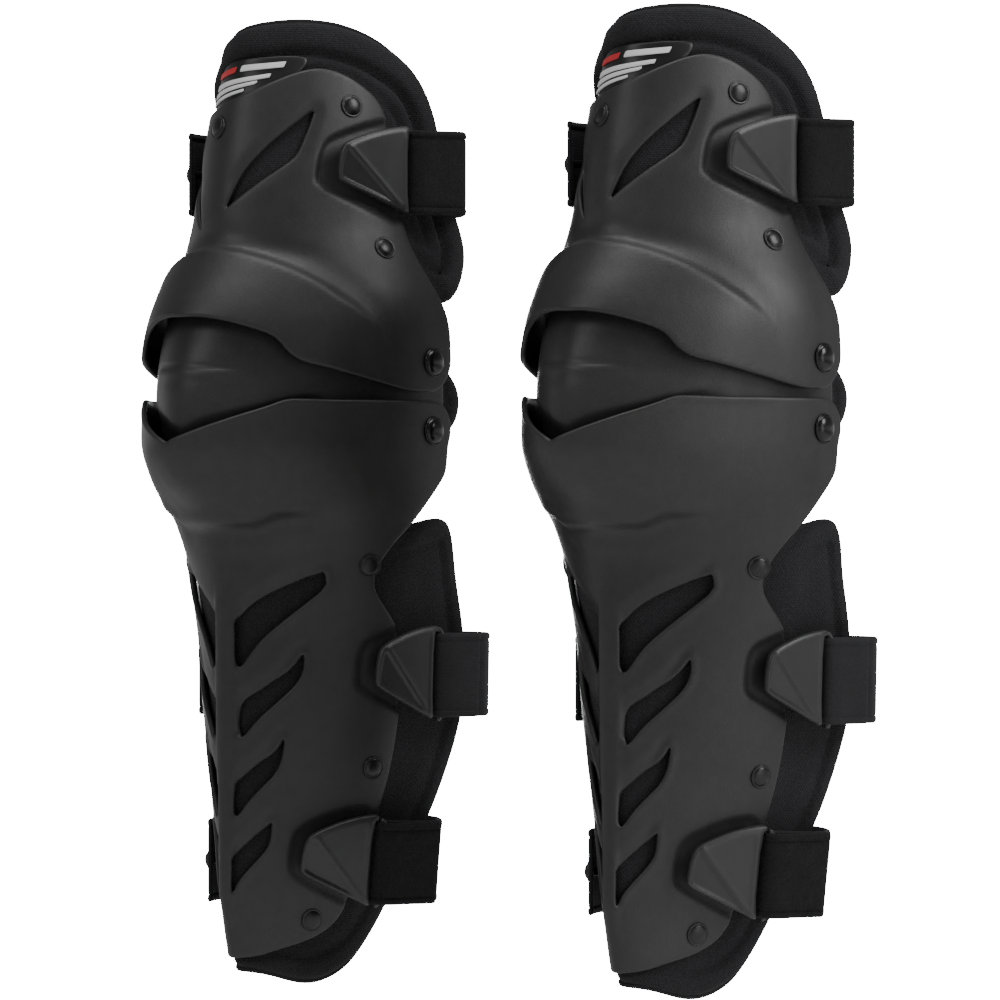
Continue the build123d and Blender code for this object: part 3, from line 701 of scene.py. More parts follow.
# ------------------------------------------------------------------ rivets
def frame_at(surf, a, z, lift):
    p = surf.at(np.array([a]), np.array([z]), np.array([lift]))[0]
    n = surf.normal(np.array([a]), np.array([z]), 4.0)[0]
    x = np.cross([0, 0, 1.0], n)
    x /= np.linalg.norm(x)
    return p, x, np.cross(n, x), n


def lathe(profile, fr, n=44):
    p0, x, y, w = fr
    verts, faces = [], []
    for r, h in profile:
        for k in range(n):
            t = 2 * math.pi * k / n
            verts.append(p0 + x * r * math.cos(t) + y * r * math.sin(t) + w * h)
    m = len(profile)
    for i in range(m - 1):
        for k in range(n):
            faces.append([i * n + k, (i + 1) * n + k, (i + 1) * n + (k + 1) % n, i * n + (k + 1) % n])
    faces.append([k for k in range(n)][::-1])
    faces.append([(m - 1) * n + k for k in range(n)])
    return np.array(verts), faces


def dome(r, h, flange=1.0):
    """Outside in: foot, flange lip, groove and dome, listed from the foot up."""
    inner = r - flange
    prof = [(r - 0.4, -1.6), (r - 0.05, -1.2), (r, 0.1), (r - 0.12, 0.42), (r - 0.35, 0.55), (r - 0.65, 0.46), (inner - 0.05, 0.28)]
    for k in range(0, 9):
        t = math.radians(8 + 80 * k / 8)
        prof.append(((inner - 0.15) * math.cos(t), 0.3 + (h - 0.3) * math.sin(t)))
    prof.append((0.02, h))
    return prof


RIVETS_THIGH = [(1, 145, -21), (-1, 134, -63.6), (1, 74, -15), (-1, 72, -15)]
RIVETS_SHIN = [(s, z, y) for s in (1, -1) for z, y in ((-84, -26), (-185, -12), (-261, -31))]


def rivet_set(surf, spots, lift_fn, r, h):
    parts = []
    for s, z, y in spots:
        q = float(surf.arc([y], [z])[0])
        up = float(lift_fn(np.array([s * q]), np.array([float(z)]))[0]) if lift_fn else 0.0
        parts.append(lathe(dome(r, h), frame_at(surf, s * q, z, up + 0.25)))
    return join(parts)


put("thigh_rivet_caps", rivet_set(ST, RIVETS_THIGH, thigh_lift, 5.9, 1.7), M_RIVET, "thigh", ["thigh_rivets"])
put("shin_rivet_caps", rivet_set(SS, RIVETS_SHIN, shin_lift, 5.8, 1.5), M_RIVET, "shin", ["shin_rivets"])


def pivot_set(surf, z):
    parts = []
    for s in (1, -1):
        q = float(surf.arc([0], [z])[0])
        x = abs(surf.raw(np.array([q]), np.array([float(z)]))[0][0]) + 0.5
        fr = (np.array([s * x, 0, z]), np.array([0, s, 0.0]), np.array([0, 0, 1.0]), np.array([s, 0, 0.0]))
        parts.append(lathe(dome(7.2, 3.1, 0.6), fr))
        # shank through the ear, the washer and the cup, with a flat head inside
        back = (np.array([s * (x - 1), 0, z]), fr[1], fr[2], -fr[3])
        parts.append(lathe([(3.0, 0.0), (3.0, x - 1 - 68.1), (4.8, x - 1 - 67.9), (5.0, x - 1 - 67.5), (4.6, x - 1 - 67.1), (0.02, x - 1 - 66.9)], back, 32))
    return join(parts)


put("upper_pivot_caps", pivot_set(ST, 17), M_PIVOT, "cup", ["upper_pivot_rivets"])
put("lower_pivot_caps", pivot_set(SS, -17), M_PIVOT, "cup", ["lower_pivot_rivets"])


# ------------------------------------------------------------------ pads
class Grown(Surf):
    """The same family drawn in by a distance, indexed like its parent so that points correspond."""

    def __init__(self, table, grow, sigma=2.5):
        super().__init__([(z, w + grow, yc, d + grow, k) for z, w, yc, d, k in table], sigma)

    def matched(self, other, a, z):
        """Point at the same fraction of the curved half, and as far along the straight side, as (a, z) on other."""
        A = np.abs(a)
        i = np.clip(((z - self.z0) / self.dz), 0, len(self.Z) - 1).astype(int)
        mine, theirs = self.bend[i], other.bend[i]
        q = np.where(A <= theirs, A * mine / theirs, mine + (A - theirs))
        return self.raw(np.where(a < 0, -q, q), z)


def bends(surf, table, grow):
    r = np.array(sorted(table), float)
    yc = soften(pchip(r[:, 0], r[:, 2], surf.Z), 2.5)
    surf.bend = np.array([float(np.interp(yc[i], surf.Y[i], surf.A)) for i in range(len(surf.Z))])
    return surf


def smooth_noise(p, scale, seed):
    """Gentle value noise in 3-D, from a few random waves."""
    g = np.random.default_rng(seed)
    out = np.zeros(len(p))
    for _ in range(14):
        d = g.normal(size=3)
        d /= np.linalg.norm(d)
        out += np.sin(p @ d * (2 * math.pi / (scale * g.uniform(0.7, 1.6))) + g.uniform(0, 6.28))
    return out / 14 ** 0.5


def pad_body(table, line, gap, thickness, quilt, cover, seed, line_name):
    outer, inner = bends(Grown(table, -gap), table, -gap), bends(Grown(table, -gap - thickness), table, -gap - thickness)
    edge_r = 4.0
    pts, faces = trim(region(line, (), edge_r), line.min(axis=0) - 2, line.max(axis=0) + 2, GRID * 0.95)
    a, z = pts[:, 0], pts[:, 1]
    d = -distance(pts, line)
    free = step((cover(pts) + 1.0) / 5.0)            # 1 where no shell covers the pad
    N = outer.normal(a, z, 2.0)
    P = outer.raw(a, z)
    if line_name == "thigh":
        # thick rolled edge, a deep channel, and the padded panel inside it
        amp = 3.0 + 3.0 * step((-a - 25) / 20)
        roll = np.sqrt(np.clip(1 - ((d - 7.4) / 7.8) ** 2, 0, 1))
        lift = free * (amp * roll - 2.4 * np.exp(-((d - 15.4) / 1.6) ** 2) + 1.0 * np.exp(-((d - 21.0) / 3.2) ** 2)
                       - 1.5 * np.exp(-((d - 26.5) / 1.4) ** 2) + 0.6 * np.exp(-((d - 31.5) / 3.0) ** 2))
    else:
        roll = np.sqrt(np.clip(1 - ((d - 6.0) / 6.6) ** 2, 0, 1))
        lift = free * (1.9 * roll - 1.4 * np.exp(-((d - 11.2) / 1.2) ** 2) + 0.7 * np.exp(-((d - 20) / 7.0) ** 2))
    lift = lift + 0.28 * free * smooth_noise(P, 26, seed)
    Q = inner.matched(outer, a, z)
    NI = inner.normal(a, z, 2.0)
    puff = quilt(a, z) * step((d - 7) / 7) - 1.0 * np.exp(-((d - 9.5) / 1.2) ** 2)
    puff = puff + 0.35 * smooth_noise(Q, 30, seed + 1)
    return outer, lift, thick(P + N * lift[:, None], N, faces, thickness, edge_r, rings=8, under=Q - NI * puff[:, None])


def quilted(zs, width=1.5, deep=2.6, spine=True):
    def f(a, z):
        up = np.full(np.shape(a), 1.4)
        for zq in zs:
            line = zq + 0.10 * np.abs(a)
            up = up - deep * np.exp(-((z - line) / width) ** 2)
        if spine:
            up = up - deep * np.exp(-(a / 2.2) ** 2) * 0.6
        return up
    return f


def along(loop_pts, spacing):
    """Evenly spaced stations round a closed run, with unit tangents."""
    p = np.vstack([loop_pts, loop_pts[:1]])
    s = np.concatenate([[0], np.cumsum(np.linalg.norm(np.diff(p, axis=0), axis=1))])
    n = max(8, int(s[-1] / spacing))
    t = np.arange(n) * s[-1] / n
    q = np.stack([np.interp(t, s, p[:, k]) for k in range(p.shape[1])], axis=1)
    g = np.roll(q, -1, axis=0) - np.roll(q, 1, axis=0)
    return q, g / np.maximum(np.linalg.norm(g, axis=1, keepdims=True), 1e-9)


def tube_ring(path, radius, n=10, close=True):
    """Closed round cord along path."""
    q, t = path
    ref = np.array([0.31, 0.17, 0.93])
    x = np.cross(t, ref)
    x /= np.linalg.norm(x, axis=1, keepdims=True)
    y = np.cross(t, x)
    m = len(q)
    verts = np.vstack([q + x * radius * math.cos(2 * math.pi * k / n) + y * radius * math.sin(2 * math.pi * k / n) for k in range(n)])
    faces = [[k * m + i, k * m + (i + 1) % m, ((k + 1) % n) * m + (i + 1) % m, ((k + 1) % n) * m + i] for k in range(n) for i in range(m)]
    return verts, faces


def stitch(p, t, n, length=2.7, radius=0.42):
    """One sewn stitch: a short bowed thread lying along t on a surface with normal n."""
    b = np.cross(n, t)
    verts, faces, k = [], [], 6
    rows = [(-0.5, -0.5, 0.35), (-0.42, 0.0, 0.85), (-0.15, 0.28, 1.0), (0.15, 0.28, 1.0), (0.42, 0.0, 0.85), (0.5, -0.5, 0.35)]
    for s, up, r in rows:
        c = p + t * s * length + n * up * radius * 1.2
        for j in range(k):
            th = 2 * math.pi * j / k
            verts.append(c + b * radius * r * math.cos(th) + n * radius * r * math.sin(th))
    for i in range(len(rows) - 1):
        for j in range(k):
            faces.append([i * k + j, i * k + (j + 1) % k, (i + 1) * k + (j + 1) % k, (i + 1) * k + j])
    faces.append(list(range(k))[::-1])
    faces.append([(len(rows) - 1) * k + j for j in range(k)])
    return np.array(verts), faces


def seam(outer, line, inset, lift, spacing=4.0, grow=0.05):
    """Stitches on the pad's outer face at a fixed distance from its outline."""
    pts, faces = trim(region(line, (), inset), line.min(axis=0) - 2, line.max(axis=0) + 2, 3.0)
    parts = []
    for loop in rims(faces):
        q, t = along(pts[np.array(loop)], spacing)
        P = outer.raw(q[:, 0], q[:, 1])
        N = outer.normal(q[:, 0], q[:, 1], 2.0)
        F = outer.raw(q[:, 0] + t[:, 0], q[:, 1] + t[:, 1]) - outer.raw(q[:, 0] - t[:, 0], q[:, 1] - t[:, 1])
        F -= N * (F * N).sum(axis=1, keepdims=True)
        F /= np.linalg.norm(F, axis=1, keepdims=True)
        for p, f, n in zip(P, F, N):
            parts.append(stitch(p + n * (lift + grow), f, n))
    return parts


def piping(outer, table_inner, line, edge_r, thickness, radius):
    """Bound cord round the pad's rim, half way through its thickness."""
    pts, faces = trim(region(line, (), edge_r), line.min(axis=0) - 2, line.max(axis=0) + 2, 2.4)
    parts = []
    for loop in rims(faces):
        L = pts[np.array(loop)]
        P = outer.raw(L[:, 0], L[:, 1])
        N = outer.normal(L[:, 0], L[:, 1], 2.0)
        Q = table_inner.matched(outer, L[:, 0], L[:, 1])
        T = np.roll(P, -1, axis=0) - np.roll(P, 1, axis=0)
        O = np.cross(T, N)
        O /= np.linalg.norm(O, axis=1, keepdims=True)
        C = (P + Q) / 2 + O * (edge_r - 0.2) + N * (thickness * 0.26)
        parts.append(tube_ring(along(C, 2.0), radius, 10))
    return parts


THIGH_PAD_SIDE = [(-130, 68), (-60, 68), (-36, 60), (-14, 50), (8, 46), (20, 48), (31, 56.5), (40, 66), (45, 76), (46, 85), (42, 98),
                  (37, 112), (37, 132), (34, 146), (30, 156), (21, 168), (6, 177), (-12, 183.6), (-32, 187.5), (-130, 187.5)]
KNEE_PAD_SIDE = [(-130, 46), (-60, 46), (-32, 34), (-6, 27), (8, 22), (26, 8), (30, -2), (26, -14), (8, -23), (-6, -28),
                 (-32, -34), (-60, -44), (-130, -44)]
SHIN_PAD_SIDE = [(-130, -72), (-50, -72), (-20, -66), (4, -60), (18, -62), (26, -74), (34, -96), (45, -116), (50, -140),
                 (50, -165), (43, -190), (35, -214), (24, -238), (12, -262), (-2, -281), (-18, -290), (-32, -292.5), (-46, -289), (-60, -284), (-130, -282)]
GAP, THICK = 4.2, 9.0
PADS = {
    "thigh": (THIGH, ST, THIGH_PAD_SIDE, THIGH_LINE, quilted([92, 128, 160]), "thigh", 11),
    "knee": (CUP, SC, KNEE_PAD_SIDE, CUP_LINE, quilted([22, -20]), "cup", 21),
    "shin": (SHIN, SS, SHIN_PAD_SIDE, SHIN_LINE, quilted([-104, -146, -188, -230, -266]), "shin", 31),
}
PAD_SURF, PAD_LINE = {}, {}
for name, (table, surf, side_pts, shell_line, quilt, body, seed) in PADS.items():
    line = from_side(surf, side_pts, 2)
    if name == "thigh":
        # the top is domed across the front
        top = line[:, 1] > 120
        cap = np.interp(line[:, 0], [-150, -85, -72, -60, -45, -29, -15, -3.7, 8.7, 20, 29.6, 40, 53.7, 63.7, 74.9, 91.3, 100.7],
                        [131, 138, 147, 155, 165, 174.5, 179.5, 183, 186.2, 188, 188.6, 187.4, 184.2, 181.4, 177.6, 170.4, 164])
        cap = np.where(line[:, 0] > 100, 999, cap)
        line[:, 1] = np.where(top, np.minimum(line[:, 1], cap), line[:, 1])
        for _ in range(4):
            line = (np.roll(line, 1, axis=0) + 2 * line + np.roll(line, -1, axis=0)) / 4
    if name == "shin":
        line[:, 1] = np.where((line[:, 0] < 0) & (line[:, 1] < -240), np.maximum(line[:, 1], -283.5), line[:, 1])
        for _ in range(3):
            line = (np.roll(line, 1, axis=0) + 2 * line + np.roll(line, -1, axis=0)) / 4
    outer, lift, body_mesh = pad_body(table, line, GAP, THICK, quilt, lambda p, s=shell_line: distance(p, s), seed, name)
    inner = bends(Grown(table, -GAP - THICK), table, 0)
    PAD_SURF[name], PAD_LINE[name] = outer, line
    made = put(f"{name}_pad_cushion", body_mesh, M_PAD, body, [f"{name}_pad"])
    put(f"{name}_pad_piping", join(piping(outer, inner, line, 4.0, THICK, 1.5)), M_EDGE, body, [])
    put(f"{name}_pad_stitching", join(seam(outer, line, 11.2 if name != "thigh" else 15.4, -1.0 if name != "thigh" else -1.9)), M_THREAD, body, [])

# ------------------------------------------------------------------ rubber badge on the thigh pad
pad_t = PAD_SURF["thigh"]


def patch(corner_pts, lift, depth, h, times=2, r=0.5):
    line = rounded(corner_pts, times)
    pts, faces = trim(region(line, (), r), line.min(axis=0) - 2, line.max(axis=0) + 2, h)
    N = pad_t.normal(pts[:, 0], pts[:, 1], 2.0)
    rise = 1.2 * step((14.5 + distance(pts, PAD_LINE["thigh"])) / 6)
    P = pad_t.raw(pts[:, 0], pts[:, 1]) + N * (lift + rise)[:, None]
    return thick(P, N, faces, depth, r, rings=4)


put("thigh_badge_patch", patch([(-27, 146), (-24.5, 155), (-17.5, 163.8), (-4, 167.8), (26, 170.0), (34.5, 168.4), (30, 160.5), (14, 147.6), (-16, 141)], 1.5, 1.8, 1.6, 1, 0.7),
    M_BADGE, "thigh", ["thigh_badge"])
put("thigh_badge_bars", join([
    patch([(-21.5, 151.8), (-19.5, 155.0), (16, 160.6), (15.2, 158.4)], 2.35, 0.9, 0.6, 0, 0.25),
    patch([(-23.8, 147.6), (-22.2, 150.6), (11, 157.2), (8.5, 155.0)], 2.35, 0.9, 0.6, 0, 0.25),
    patch([(-24.8, 144.0), (-23.6, 146.4), (5.5, 153.4), (3, 151.2)], 2.35, 0.9, 0.6, 0, 0.25),
    patch([(0.2, 161.4), (1.2, 164.6), (22.5, 166.6), (21.4, 163.6)], 2.35, 0.9, 0.6, 0, 0.25)]), M_WHITE, "thigh", [])
put("thigh_badge_red_bar", patch([(-19.5, 157.6), (-17.2, 161.0), (-1.6, 164.1), (-2.6, 161.0)], 2.35, 0.9, 0.6, 0, 0.25), M_RED, "thigh", [])
# ------------------------------------------------------------------ tabs, webbing loops and rear straps
STRAP_HALF = 21.0
FIT = {
    "thigh": dict(o=(46.92, -39, 112), u=(0.2854, 0.9584), L=46.95, reach=27, back=76, y_a=-34, la=49.25, lm=58.09, axis=(-0.898, -0.44), lx=44.35, lw=60.12,
                  out=64.02, hinge=(72.3, 30.81), tilt=0, grow=(1.0, 1.0), turn_in=((68.6, 37), (60, 46), (49, 59), (30, 72)), body="thigh", fuzzy=True, turn=14, seed=41),
    "upper_shin": dict(o=(57.89, -22, -139), u=(0.1699, 0.9855), L=41.6, reach=24, back=84, y_a=-6, la=63.76, lm=65.25, axis=(-0.957, -0.289), lx=61.03, lw=64.75,
                       out=67.75, hinge=(73.4, 42.1), tilt=2, grow=(1.02, 1.08), turn_in=((72.2, 49), (66, 59), (52, 73), (32, 81.5)), body="shin", fuzzy=False, turn=16, seed=42),
    "lower_shin": dict(o=(31.79, -42, -232), u=(0.4263, 0.9046), L=38.69, reach=30, back=66, y_a=-38, la=33.84, lm=45.77, axis=(-0.865, -0.502), lx=28.38, lw=48.99,
                       out=57.05, hinge=(65.14, 18.44), tilt=11, grow=(1.14, 1.07), turn_in=((60.4, 25), (54, 33), (43, 46), (27, 59)), body="shin", fuzzy=True, turn=10, seed=43),
}


def outward(data):
    """Flip every face if the closed body is inside out."""
    v, f = data
    v = np.asarray(v, float)
    total = 0.0
    for q in f:
        for k in range(1, len(q) - 1):
            total += float(np.dot(v[q[0]], np.cross(v[q[k]], v[q[k + 1]])))
    return (v, f) if total > 0 else (v, [list(q)[::-1] for q in f])


def chaikin(p, times=3):
    p = np.array(p, float)
    for _ in range(times):
        a, b = p[:-1], p[1:]
        p = np.vstack([p[:1], np.stack([a * 0.75 + b * 0.25, a * 0.25 + b * 0.75], axis=1).reshape(-1, p.shape[1]), p[-1:]])
    return p


def evenly(p, spacing):
    s = np.concatenate([[0], np.cumsum(np.linalg.norm(np.diff(p[:, :3], axis=0), axis=1))])
    n = max(4, int(round(s[-1] / spacing)))
    t = np.linspace(0, s[-1], n + 1)
    return np.stack([np.interp(t, s, p[:, k]) for k in range(p.shape[1])], axis=1), t


def section(half, hem=3.6):
    """Half of the flat band's outline: distance across it, and the share of its thickness there."""
    w = [half, half - 0.25, half - 0.9, half - 1.8, half - hem + 0.5, half - hem, half - hem - 0.6, half - hem - 2.0]
    t = [0.0, 0.6, 1.0, 1.2, 1.12, 0.62, 0.84, 1.0]
    mid = list(np.linspace(half - hem - 4.5, -(half - hem - 4.5), 9))
    return w + mid + [-v for v in w[::-1]], t + [1.0] * len(mid) + t[::-1]


def sweep(path, tilt_dir, fuzz=0.0, seed=0, spacing=1.8):
    """Band along path rows (x, y, z, thickness, tilt in degrees, fuzz share)."""
    q, s = evenly(path, spacing)
    C, TH, TI, FZ = q[:, :3], q[:, 3], np.radians(q[:, 4]), q[:, 5]
    T = np.gradient(C, axis=0)
    T /= np.linalg.norm(T, axis=1, keepdims=True)
    W = np.array([0, 0, 1.0]) * np.cos(TI)[:, None] + tilt_dir * np.sin(TI)[:, None]
    W -= T * (T * W).sum(axis=1, keepdims=True)
    W /= np.linalg.norm(W, axis=1, keepdims=True)
    N = np.cross(T, W)
    w, t = section(STRAP_HALF)
    ring_w = np.array(w + w[::-1][1:-1])
    ring_t = np.array(t + [-v for v in t[::-1][1:-1]])
    m, k = len(C), len(ring_w)
    P = C[:, None, :] + W[:, None, :] * ring_w[None, :, None] + N[:, None, :] * (ring_t[None, :] * TH[:, None] / 2)[:, :, None]
    flat = P.reshape(-1, 3)
    if fuzz:
        amount = (FZ[:, None] * np.abs(ring_t)[None, :]).reshape(-1) * fuzz
        flat = flat + np.repeat(N, k, axis=0) * (amount * (0.6 * smooth_noise(flat, 9, seed) + 0.5 * smooth_noise(flat, 4.5, seed + 1)))[:, None]
    faces = [[i * k + j, (i + 1) * k + j, (i + 1) * k + (j + 1) % k, i * k + (j + 1) % k] for i in range(m - 1) for j in range(k)]
    # rounded ends
    verts, base = [flat], m * k
    for end, i, sign in ((0, 0, -1), (1, m - 1, 1)):
        prev = np.arange(i * k, (i + 1) * k)
        for g in (0.55, 0.9):
            r = math.sqrt(1 - g * g)
            ring = C[i] + W[i] * (ring_w * (1 - 0.02 * g))[:, None] + N[i] * (ring_t * TH[i] / 2 * r)[:, None] + T[i] * sign * g * TH[i] / 2
            verts.append(ring)
            cur = np.arange(base, base + k)
            base += k
            for j in range(k):
                a = [int(prev[j]), int(cur[j]), int(cur[(j + 1) % k]), int(prev[(j + 1) % k])]
                faces.append(a if end else a[::-1])
            prev = cur
        # close the tip with a strip of quads across the thickness
        h = len(w)
        top, low = [int(prev[j]) for j in range(h)], [int(prev[0])] + [int(prev[k - j]) for j in range(1, h - 1)] + [int(prev[h - 1])]
        for j in range(h - 1):
            q4 = []
            for v in (top[j], top[j + 1], low[j + 1], low[j]):
                if v not in q4:
                    q4.append(v)
            if len(q4) > 2:
                faces.append(q4[::-1] if end else q4)
    return outward((np.vstack(verts), faces))


def put_blend(name, data, material, b, replaces=(), other=None, chosen=None):
    verts, faces = data
    for side, dx in SIDES:
        me = bpy.data.meshes.new(f"{side}_{name}")
        me.from_pydata(((np.asarray(verts) + [dx, 0, 0]) * MM).tolist(), [], faces)
        me.validate(clean_customdata=False)
        me.polygons.foreach_set("use_smooth", [True] * len(me.polygons))
        me.materials.append(material)
        if other:
            # faces that chosen() picks by their centres take the second material
            me.materials.append(other)
            centre = np.array([p.center for p in me.polygons]) / MM - [dx, 0, 0]
            me.polygons.foreach_set("material_index", chosen(centre).astype(np.int32))
        o = bpy.data.objects.new(f"{side}_{name}", me)
        bpy.context.collection.objects.link(o)
        if replaces:
            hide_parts(*[f"{side}_{r}" for r in replaces])
        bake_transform(o)


def tab_line(L, grow=(1.0, 1.0)):
    p = [(0, -3), (1.5, 12), (7, 15.8), (L * 0.6, 22), (L + 3, 24), (L + 3.2, 0), (L + 3, -24), (L * 0.72, -18), (L * 0.33, -10.6), (2, -5.4)]
    return rounded([(L - (L - x) * grow[0] if x < L else x, y * grow[1]) for x, y in p], 2)


def tab_height(x, y, L, grow=(1.0, 1.0)):
    """Outer face: a plain field and, below a crease, a facet that falls to the lower edge."""
    rim_d = -distance(np.stack([np.ravel(x), np.ravel(y)], axis=1), tab_line(L, grow)).reshape(np.shape(x))
    x, y = np.where(x < L, L - (L - x) / grow[0], x), y / grow[1]
    a, b = np.array([4.2, 13.0]), np.array([0.74 * L, -16.8])
    d = (b - a) / np.linalg.norm(b - a)
    side = (x - a[0]) * d[1] - (y - a[1]) * d[0]          # negative above the crease
    side = -side
    main = 4.7 + 0.018 * np.clip(x, 0, 30)
    fall = np.clip(-side, 0, 20)
    facet = main - 1.0 * step(fall / 1.0) - 0.20 * fall
    # the facet stands in a thin raised rim
    rim = 1 - step((rim_d - 1.3) / 1.3)
    facet = facet * (1 - rim) + (main - 0.07 * fall) * rim
    h = np.where(side > 0, main, facet)
    h = h + 0.40 * np.exp(-((side - 1.1) / 1.0) ** 2) * step((L * 0.9 - x) / 8)
    # thickened lip beside the slot, and a lower bar beyond it
    h = h + 0.5 * np.exp(-((x - (L - 7.6)) / 1.3) ** 2) * step((22 - np.abs(y)) / 6)
    h = h - 0.9 * step((x - (L - 2.2)) / 3.5)
    return h


for name, g in FIT.items():
    o3 = np.array(g["o"], float)
    u = np.array([*g["u"], 0.0])
    n = np.array([g["u"][1], -g["u"][0], 0.0])
    th = math.radians(g["tilt"])
    up = np.array([0, 0, 1.0]) * math.cos(th) + n * math.sin(th)
    nn = n * math.cos(th) - np.array([0, 0, 1.0]) * math.sin(th)
    L, end, body = g["L"], g["L"] + g["reach"], g["body"]

    # rubber tab
    line = tab_line(L, g["grow"])
    hole = rounded([(L - 6, -21.4), (L - 6, 21.4), (L - 1.2, 21.4), (L - 1.2, -21.4)], 1)
    pts, faces = trim(region(line, [hole], 1.0), line.min(axis=0) - 1, line.max(axis=0) + 1, 0.85)
    d = np.minimum(-distance(pts, line), np.abs(distance(pts, hole)))
    e = 0.5
    at = lambda x, y: tab_height(x, y, L, g["grow"]) - 0.55 * (1 - step((d - 0.6) / 2.2))
    h = at(pts[:, 0], pts[:, 1])
    hx = (tab_height(pts[:, 0] + e, pts[:, 1], L, g["grow"]) - tab_height(pts[:, 0] - e, pts[:, 1], L, g["grow"])) / (2 * e)
    hy = (tab_height(pts[:, 0], pts[:, 1] + e, L, g["grow"]) - tab_height(pts[:, 0], pts[:, 1] - e, L, g["grow"])) / (2 * e)
    N = nn[None, :] - u[None, :] * hx[:, None] - up[None, :] * hy[:, None]
    N /= np.linalg.norm(N, axis=1, keepdims=True)
    flat = o3 + u * pts[:, :1] + up * pts[:, 1:2]
    P = flat + nn * h[:, None]
    low = flat + nn * 0.25
    put(f"{name}_tab_skin", outward(thick(P, N, faces, 1.0, 1.0, rings=5, under=low)), M_TAB, f"{name}_tab", [f"{name}_tab"])

    # webbing: outer ply, round the bar, inner ply, past the hinge, to the middle of the back
    outer_t = 3.4 if g["fuzzy"] else 2.1
    top = 4.2 + outer_t / 2
    loc = [(end - 0.6, top - 0.7, outer_t * 0.92), (end - 4, top - 0.5, outer_t), (L + 14, top - 0.1, outer_t), (L + 8, top + 0.3, outer_t), (L + 3.6, top + 0.55, outer_t),
           (L + 0.4, top + 0.2, outer_t * 0.86), (L - 2.6, 4.8, 2.2), (L - 3.6, 2.1, 2.0), (L - 2.9, -0.5, 1.9), (L - 0.4, -1.3, 1.8),
           (L + 4, -1.1, 1.9), (L + 9, 0.4, 2.1), (L + 14, 1.5, 2.2), (end - 1, 1.85, 2.2)]
    rows = []
    for x, z, t in loc:
        p = o3 + u * x + nn * z
        fz = 1.0 if z > 4.4 else 0.0
        rows.append([*p, t, g["tilt"], fz])
    q = o3 + u * (end + 0.6) + nn * 1.9
    c = o3 + u * (end + 0.6) + n * 1.9
    cx, cy, back, zc = c[0], c[1], g["back"], g["o"][2]
    rear = [(cx, cy, 1.0)] + [(x, y, k) for (x, y), k in zip(g["turn_in"], (0.9, 0.75, 0.4, 0.1))]
    for x, y, k in rear:
        rows.append([x, y, zc, 2.2, g["tilt"] * k, 0.0])
    rows[len(loc)][0:3] = list(q)
    rows += [[1.5, back, zc, 2.2, 0, 0], [-1.5, back, zc, 2.2, 0, 0]]
    path = chaikin(rows, 3)
    put_blend(f"{name}_strap_front", sweep(path, n, 0.22 if g["fuzzy"] else 0.0, g["seed"]), M_FUZZ if g["fuzzy"] else M_WEB,
              body, [f"{name}_strap_loop"], M_WEB if g["fuzzy"] else None,
              lambda c, o=o3, w=nn, d=u, x=end: ((c - o) @ w < 3.0) | ((c - o) @ d > x + 0.5))

    # the rest of the way round to the fixed end
    out, lw, la, lx, y_a = g["out"], g["lw"], g["la"], g["lx"], g["y_a"]
    rows = [[1.2, back + 0.1, zc], [-6, back, zc], [-out * 0.62, back - 4, zc], [-out * 0.95, (cy + back) / 2, zc], [-out, cy * 0.6, zc],
            [-lw, 6, zc], [-g["lm"], (y_a + 6) / 2, zc], [-la, y_a, zc], [-lx, y_a - 8, zc]]
    path = chaikin([[*r, 2.2, 0, 0] for r in rows], 3)
    put(f"{name}_strap_rear", sweep(path, n), M_WEB, body, [f"{name}_strap"])


def anchor_cap(name):
    g = FIT[name]
    w = np.array([*g["axis"], 0.0])
    w /= np.linalg.norm(w)
    p = np.array([-g["la"], g["y_a"], g["o"][2]])
    side = np.cross([0, 0, 1.0], w)
    parts = [lathe(dome(5.0, 2.2), (p + w * 1.3, side, np.cross(w, side), w))]
    parts.append(lathe([(2.0, -0.4), (2.0, 8.4), (1.6, 8.6), (0.02, 8.6)], (p, side, np.cross(-w, side), -w), 28))
    return parts


put("thigh_strap_cap", join(anchor_cap("thigh")), M_RIVET, "thigh", ["thigh_strap_rivet"])
put("shin_strap_caps", join(anchor_cap("upper_shin") + anchor_cap("lower_shin")), M_RIVET, "shin", ["shin_strap_rivets"])



# ------------------------------------------------------------------ kept CAD pieces
for side, _ in SIDES:
    for n in ("upper_pivot_washers", "lower_pivot_washers"):
        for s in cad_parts[f"{side}_{n}"].material_slots:
            s.material = M_STEEL
    for n in ("thigh_stud", "upper_shin_stud", "lower_shin_stud"):
        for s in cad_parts[f"{side}_{n}"].material_slots:
            s.material = M_RIVET

# ------------------------------------------------------------------ stage, light, camera
me = bpy.data.meshes.new("floor")
z0, rad = -0.62, 4.0
ring = [(rad * math.cos(math.radians(t)), rad * math.sin(math.radians(t)), z0) for t in range(0, 360, 3)]
me.from_pydata(ring, [], [list(range(len(ring)))])
floor = bpy.data.objects.new("floor", me)
bpy.context.collection.objects.link(floor)
M_FLOOR, _nt, _b = nodes_of("floor_pale")
_n = noise(_nt, coords(_nt), 3, 2)
_nt.links.new(ramp(_nt, _n, [(0.3, grey(0.93)), (0.7, grey(0.95))]), _b.inputs["Base Color"])
_b.inputs["Roughness"].default_value = 0.9
me.materials.append(M_FLOOR)

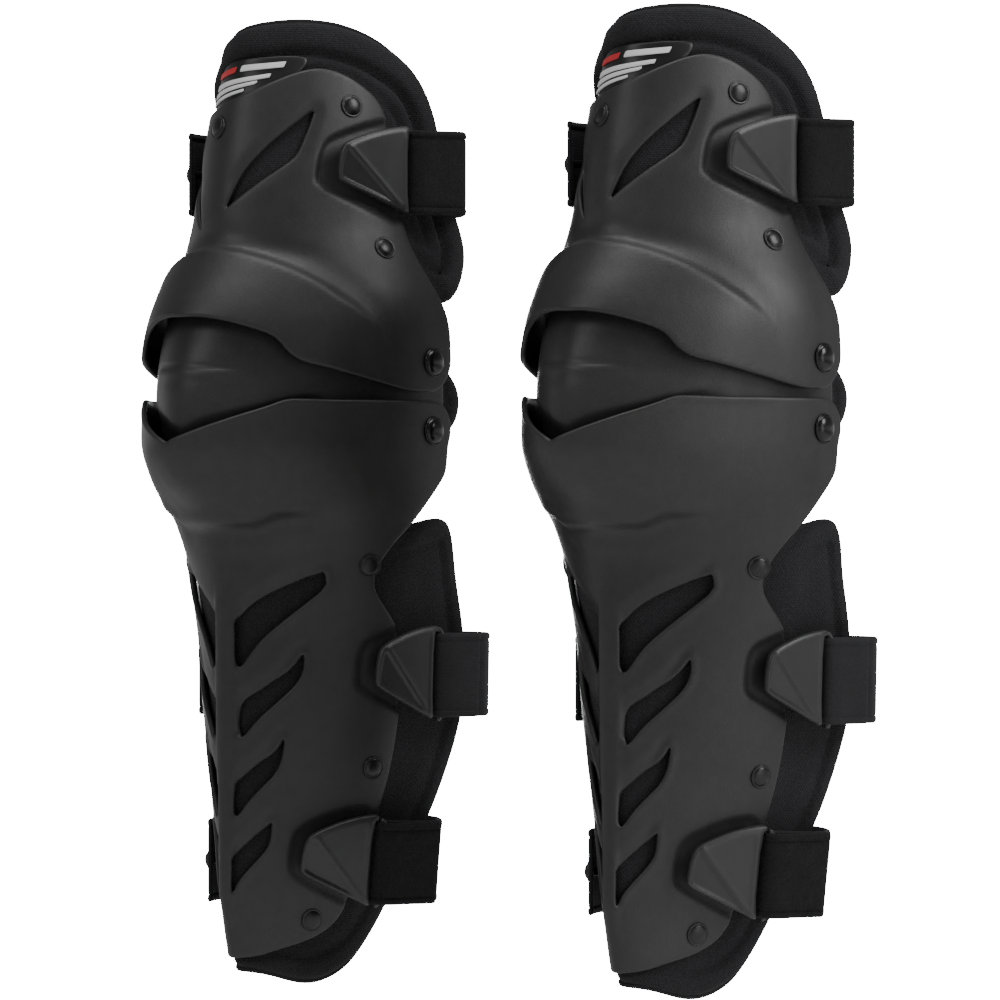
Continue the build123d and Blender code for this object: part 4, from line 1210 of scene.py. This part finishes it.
world = bpy.data.worlds.new("studio")
bpy.context.scene.world = world
world.use_nodes = True
wt = world.node_tree
bg = wt.nodes["Background"]
tc = wt.nodes.new("ShaderNodeTexCoord")
sp = wt.nodes.new("ShaderNodeSeparateXYZ")
wt.links.new(tc.outputs["Generated"], sp.inputs[0])
AZ = math.radians(38)
VIEW = np.array([math.sin(AZ), -math.cos(AZ), 0])        # towards the camera
RIGHT = np.array([math.cos(AZ), math.sin(AZ), 0])
level = ramp(wt, math_node(wt, "ABSOLUTE", sp.outputs["Z"]), [(0.0, grey(0.85)), (0.07, grey(0.85)), (0.12, grey(0.30)), (0.40, grey(0.15)), (1.0, grey(0.22))])
# a bright panel straight behind the pair
dot = wt.nodes.new("ShaderNodeVectorMath")
dot.operation = "DOT_PRODUCT"
wt.links.new(tc.outputs["Generated"], dot.inputs[0])
dot.inputs[1].default_value = (-VIEW).tolist()
panel = rng_map(wt, dot.outputs["Value"], 0.0, 26.0, 0.986, 0.9945)
total = math_node(wt, "ADD", level, panel)
wt.links.new(total, bg.inputs["Color"])
bg.inputs["Strength"].default_value = 1.0

TARGET = np.array([0, 0, -0.0515])


def area(name, right, fwd, up, size, power, aim=(0, 0, -0.05), colour=(1, 1, 1)):
    from mathutils import Vector
    d = bpy.data.lights.new(name, "AREA")
    d.shape, d.size, d.size_y = "RECTANGLE", size[0], size[1]
    d.energy, d.color = power, colour
    o = bpy.data.objects.new(name, d)
    bpy.context.collection.objects.link(o)
    p = RIGHT * right + VIEW * fwd + np.array([0, 0, up])
    o.location = p.tolist()
    o.rotation_euler = (Vector(aim) - Vector(p.tolist())).to_track_quat("-Z", "Y").to_euler()
    return o


area("key", -1.6, 1.6, 1.5, (1.2, 1.2), 13)
area("right", 2.0, 0.9, 1.4, (1.0, 1.2), 34, aim=(0, 0, 0.12))
area("fill", 1.9, 1.5, 0.2, (1.0, 1.6), 8)
area("top", 0.1, 0.3, 1.9, (1.6, 1.0), 24)

DIST = 4.5
cam = bpy.data.cameras.new("camera")
cam.sensor_width = 36.0
cam.lens = 2.02 * 36.0 / 1000.0 * DIST * 1000.0
cam.clip_end = 200
camera = bpy.data.objects.new("camera", cam)
bpy.context.collection.objects.link(camera)
camera.location = (TARGET + VIEW * DIST).tolist()
camera.rotation_euler = (math.radians(90), 0, AZ)
bpy.context.scene.camera = camera
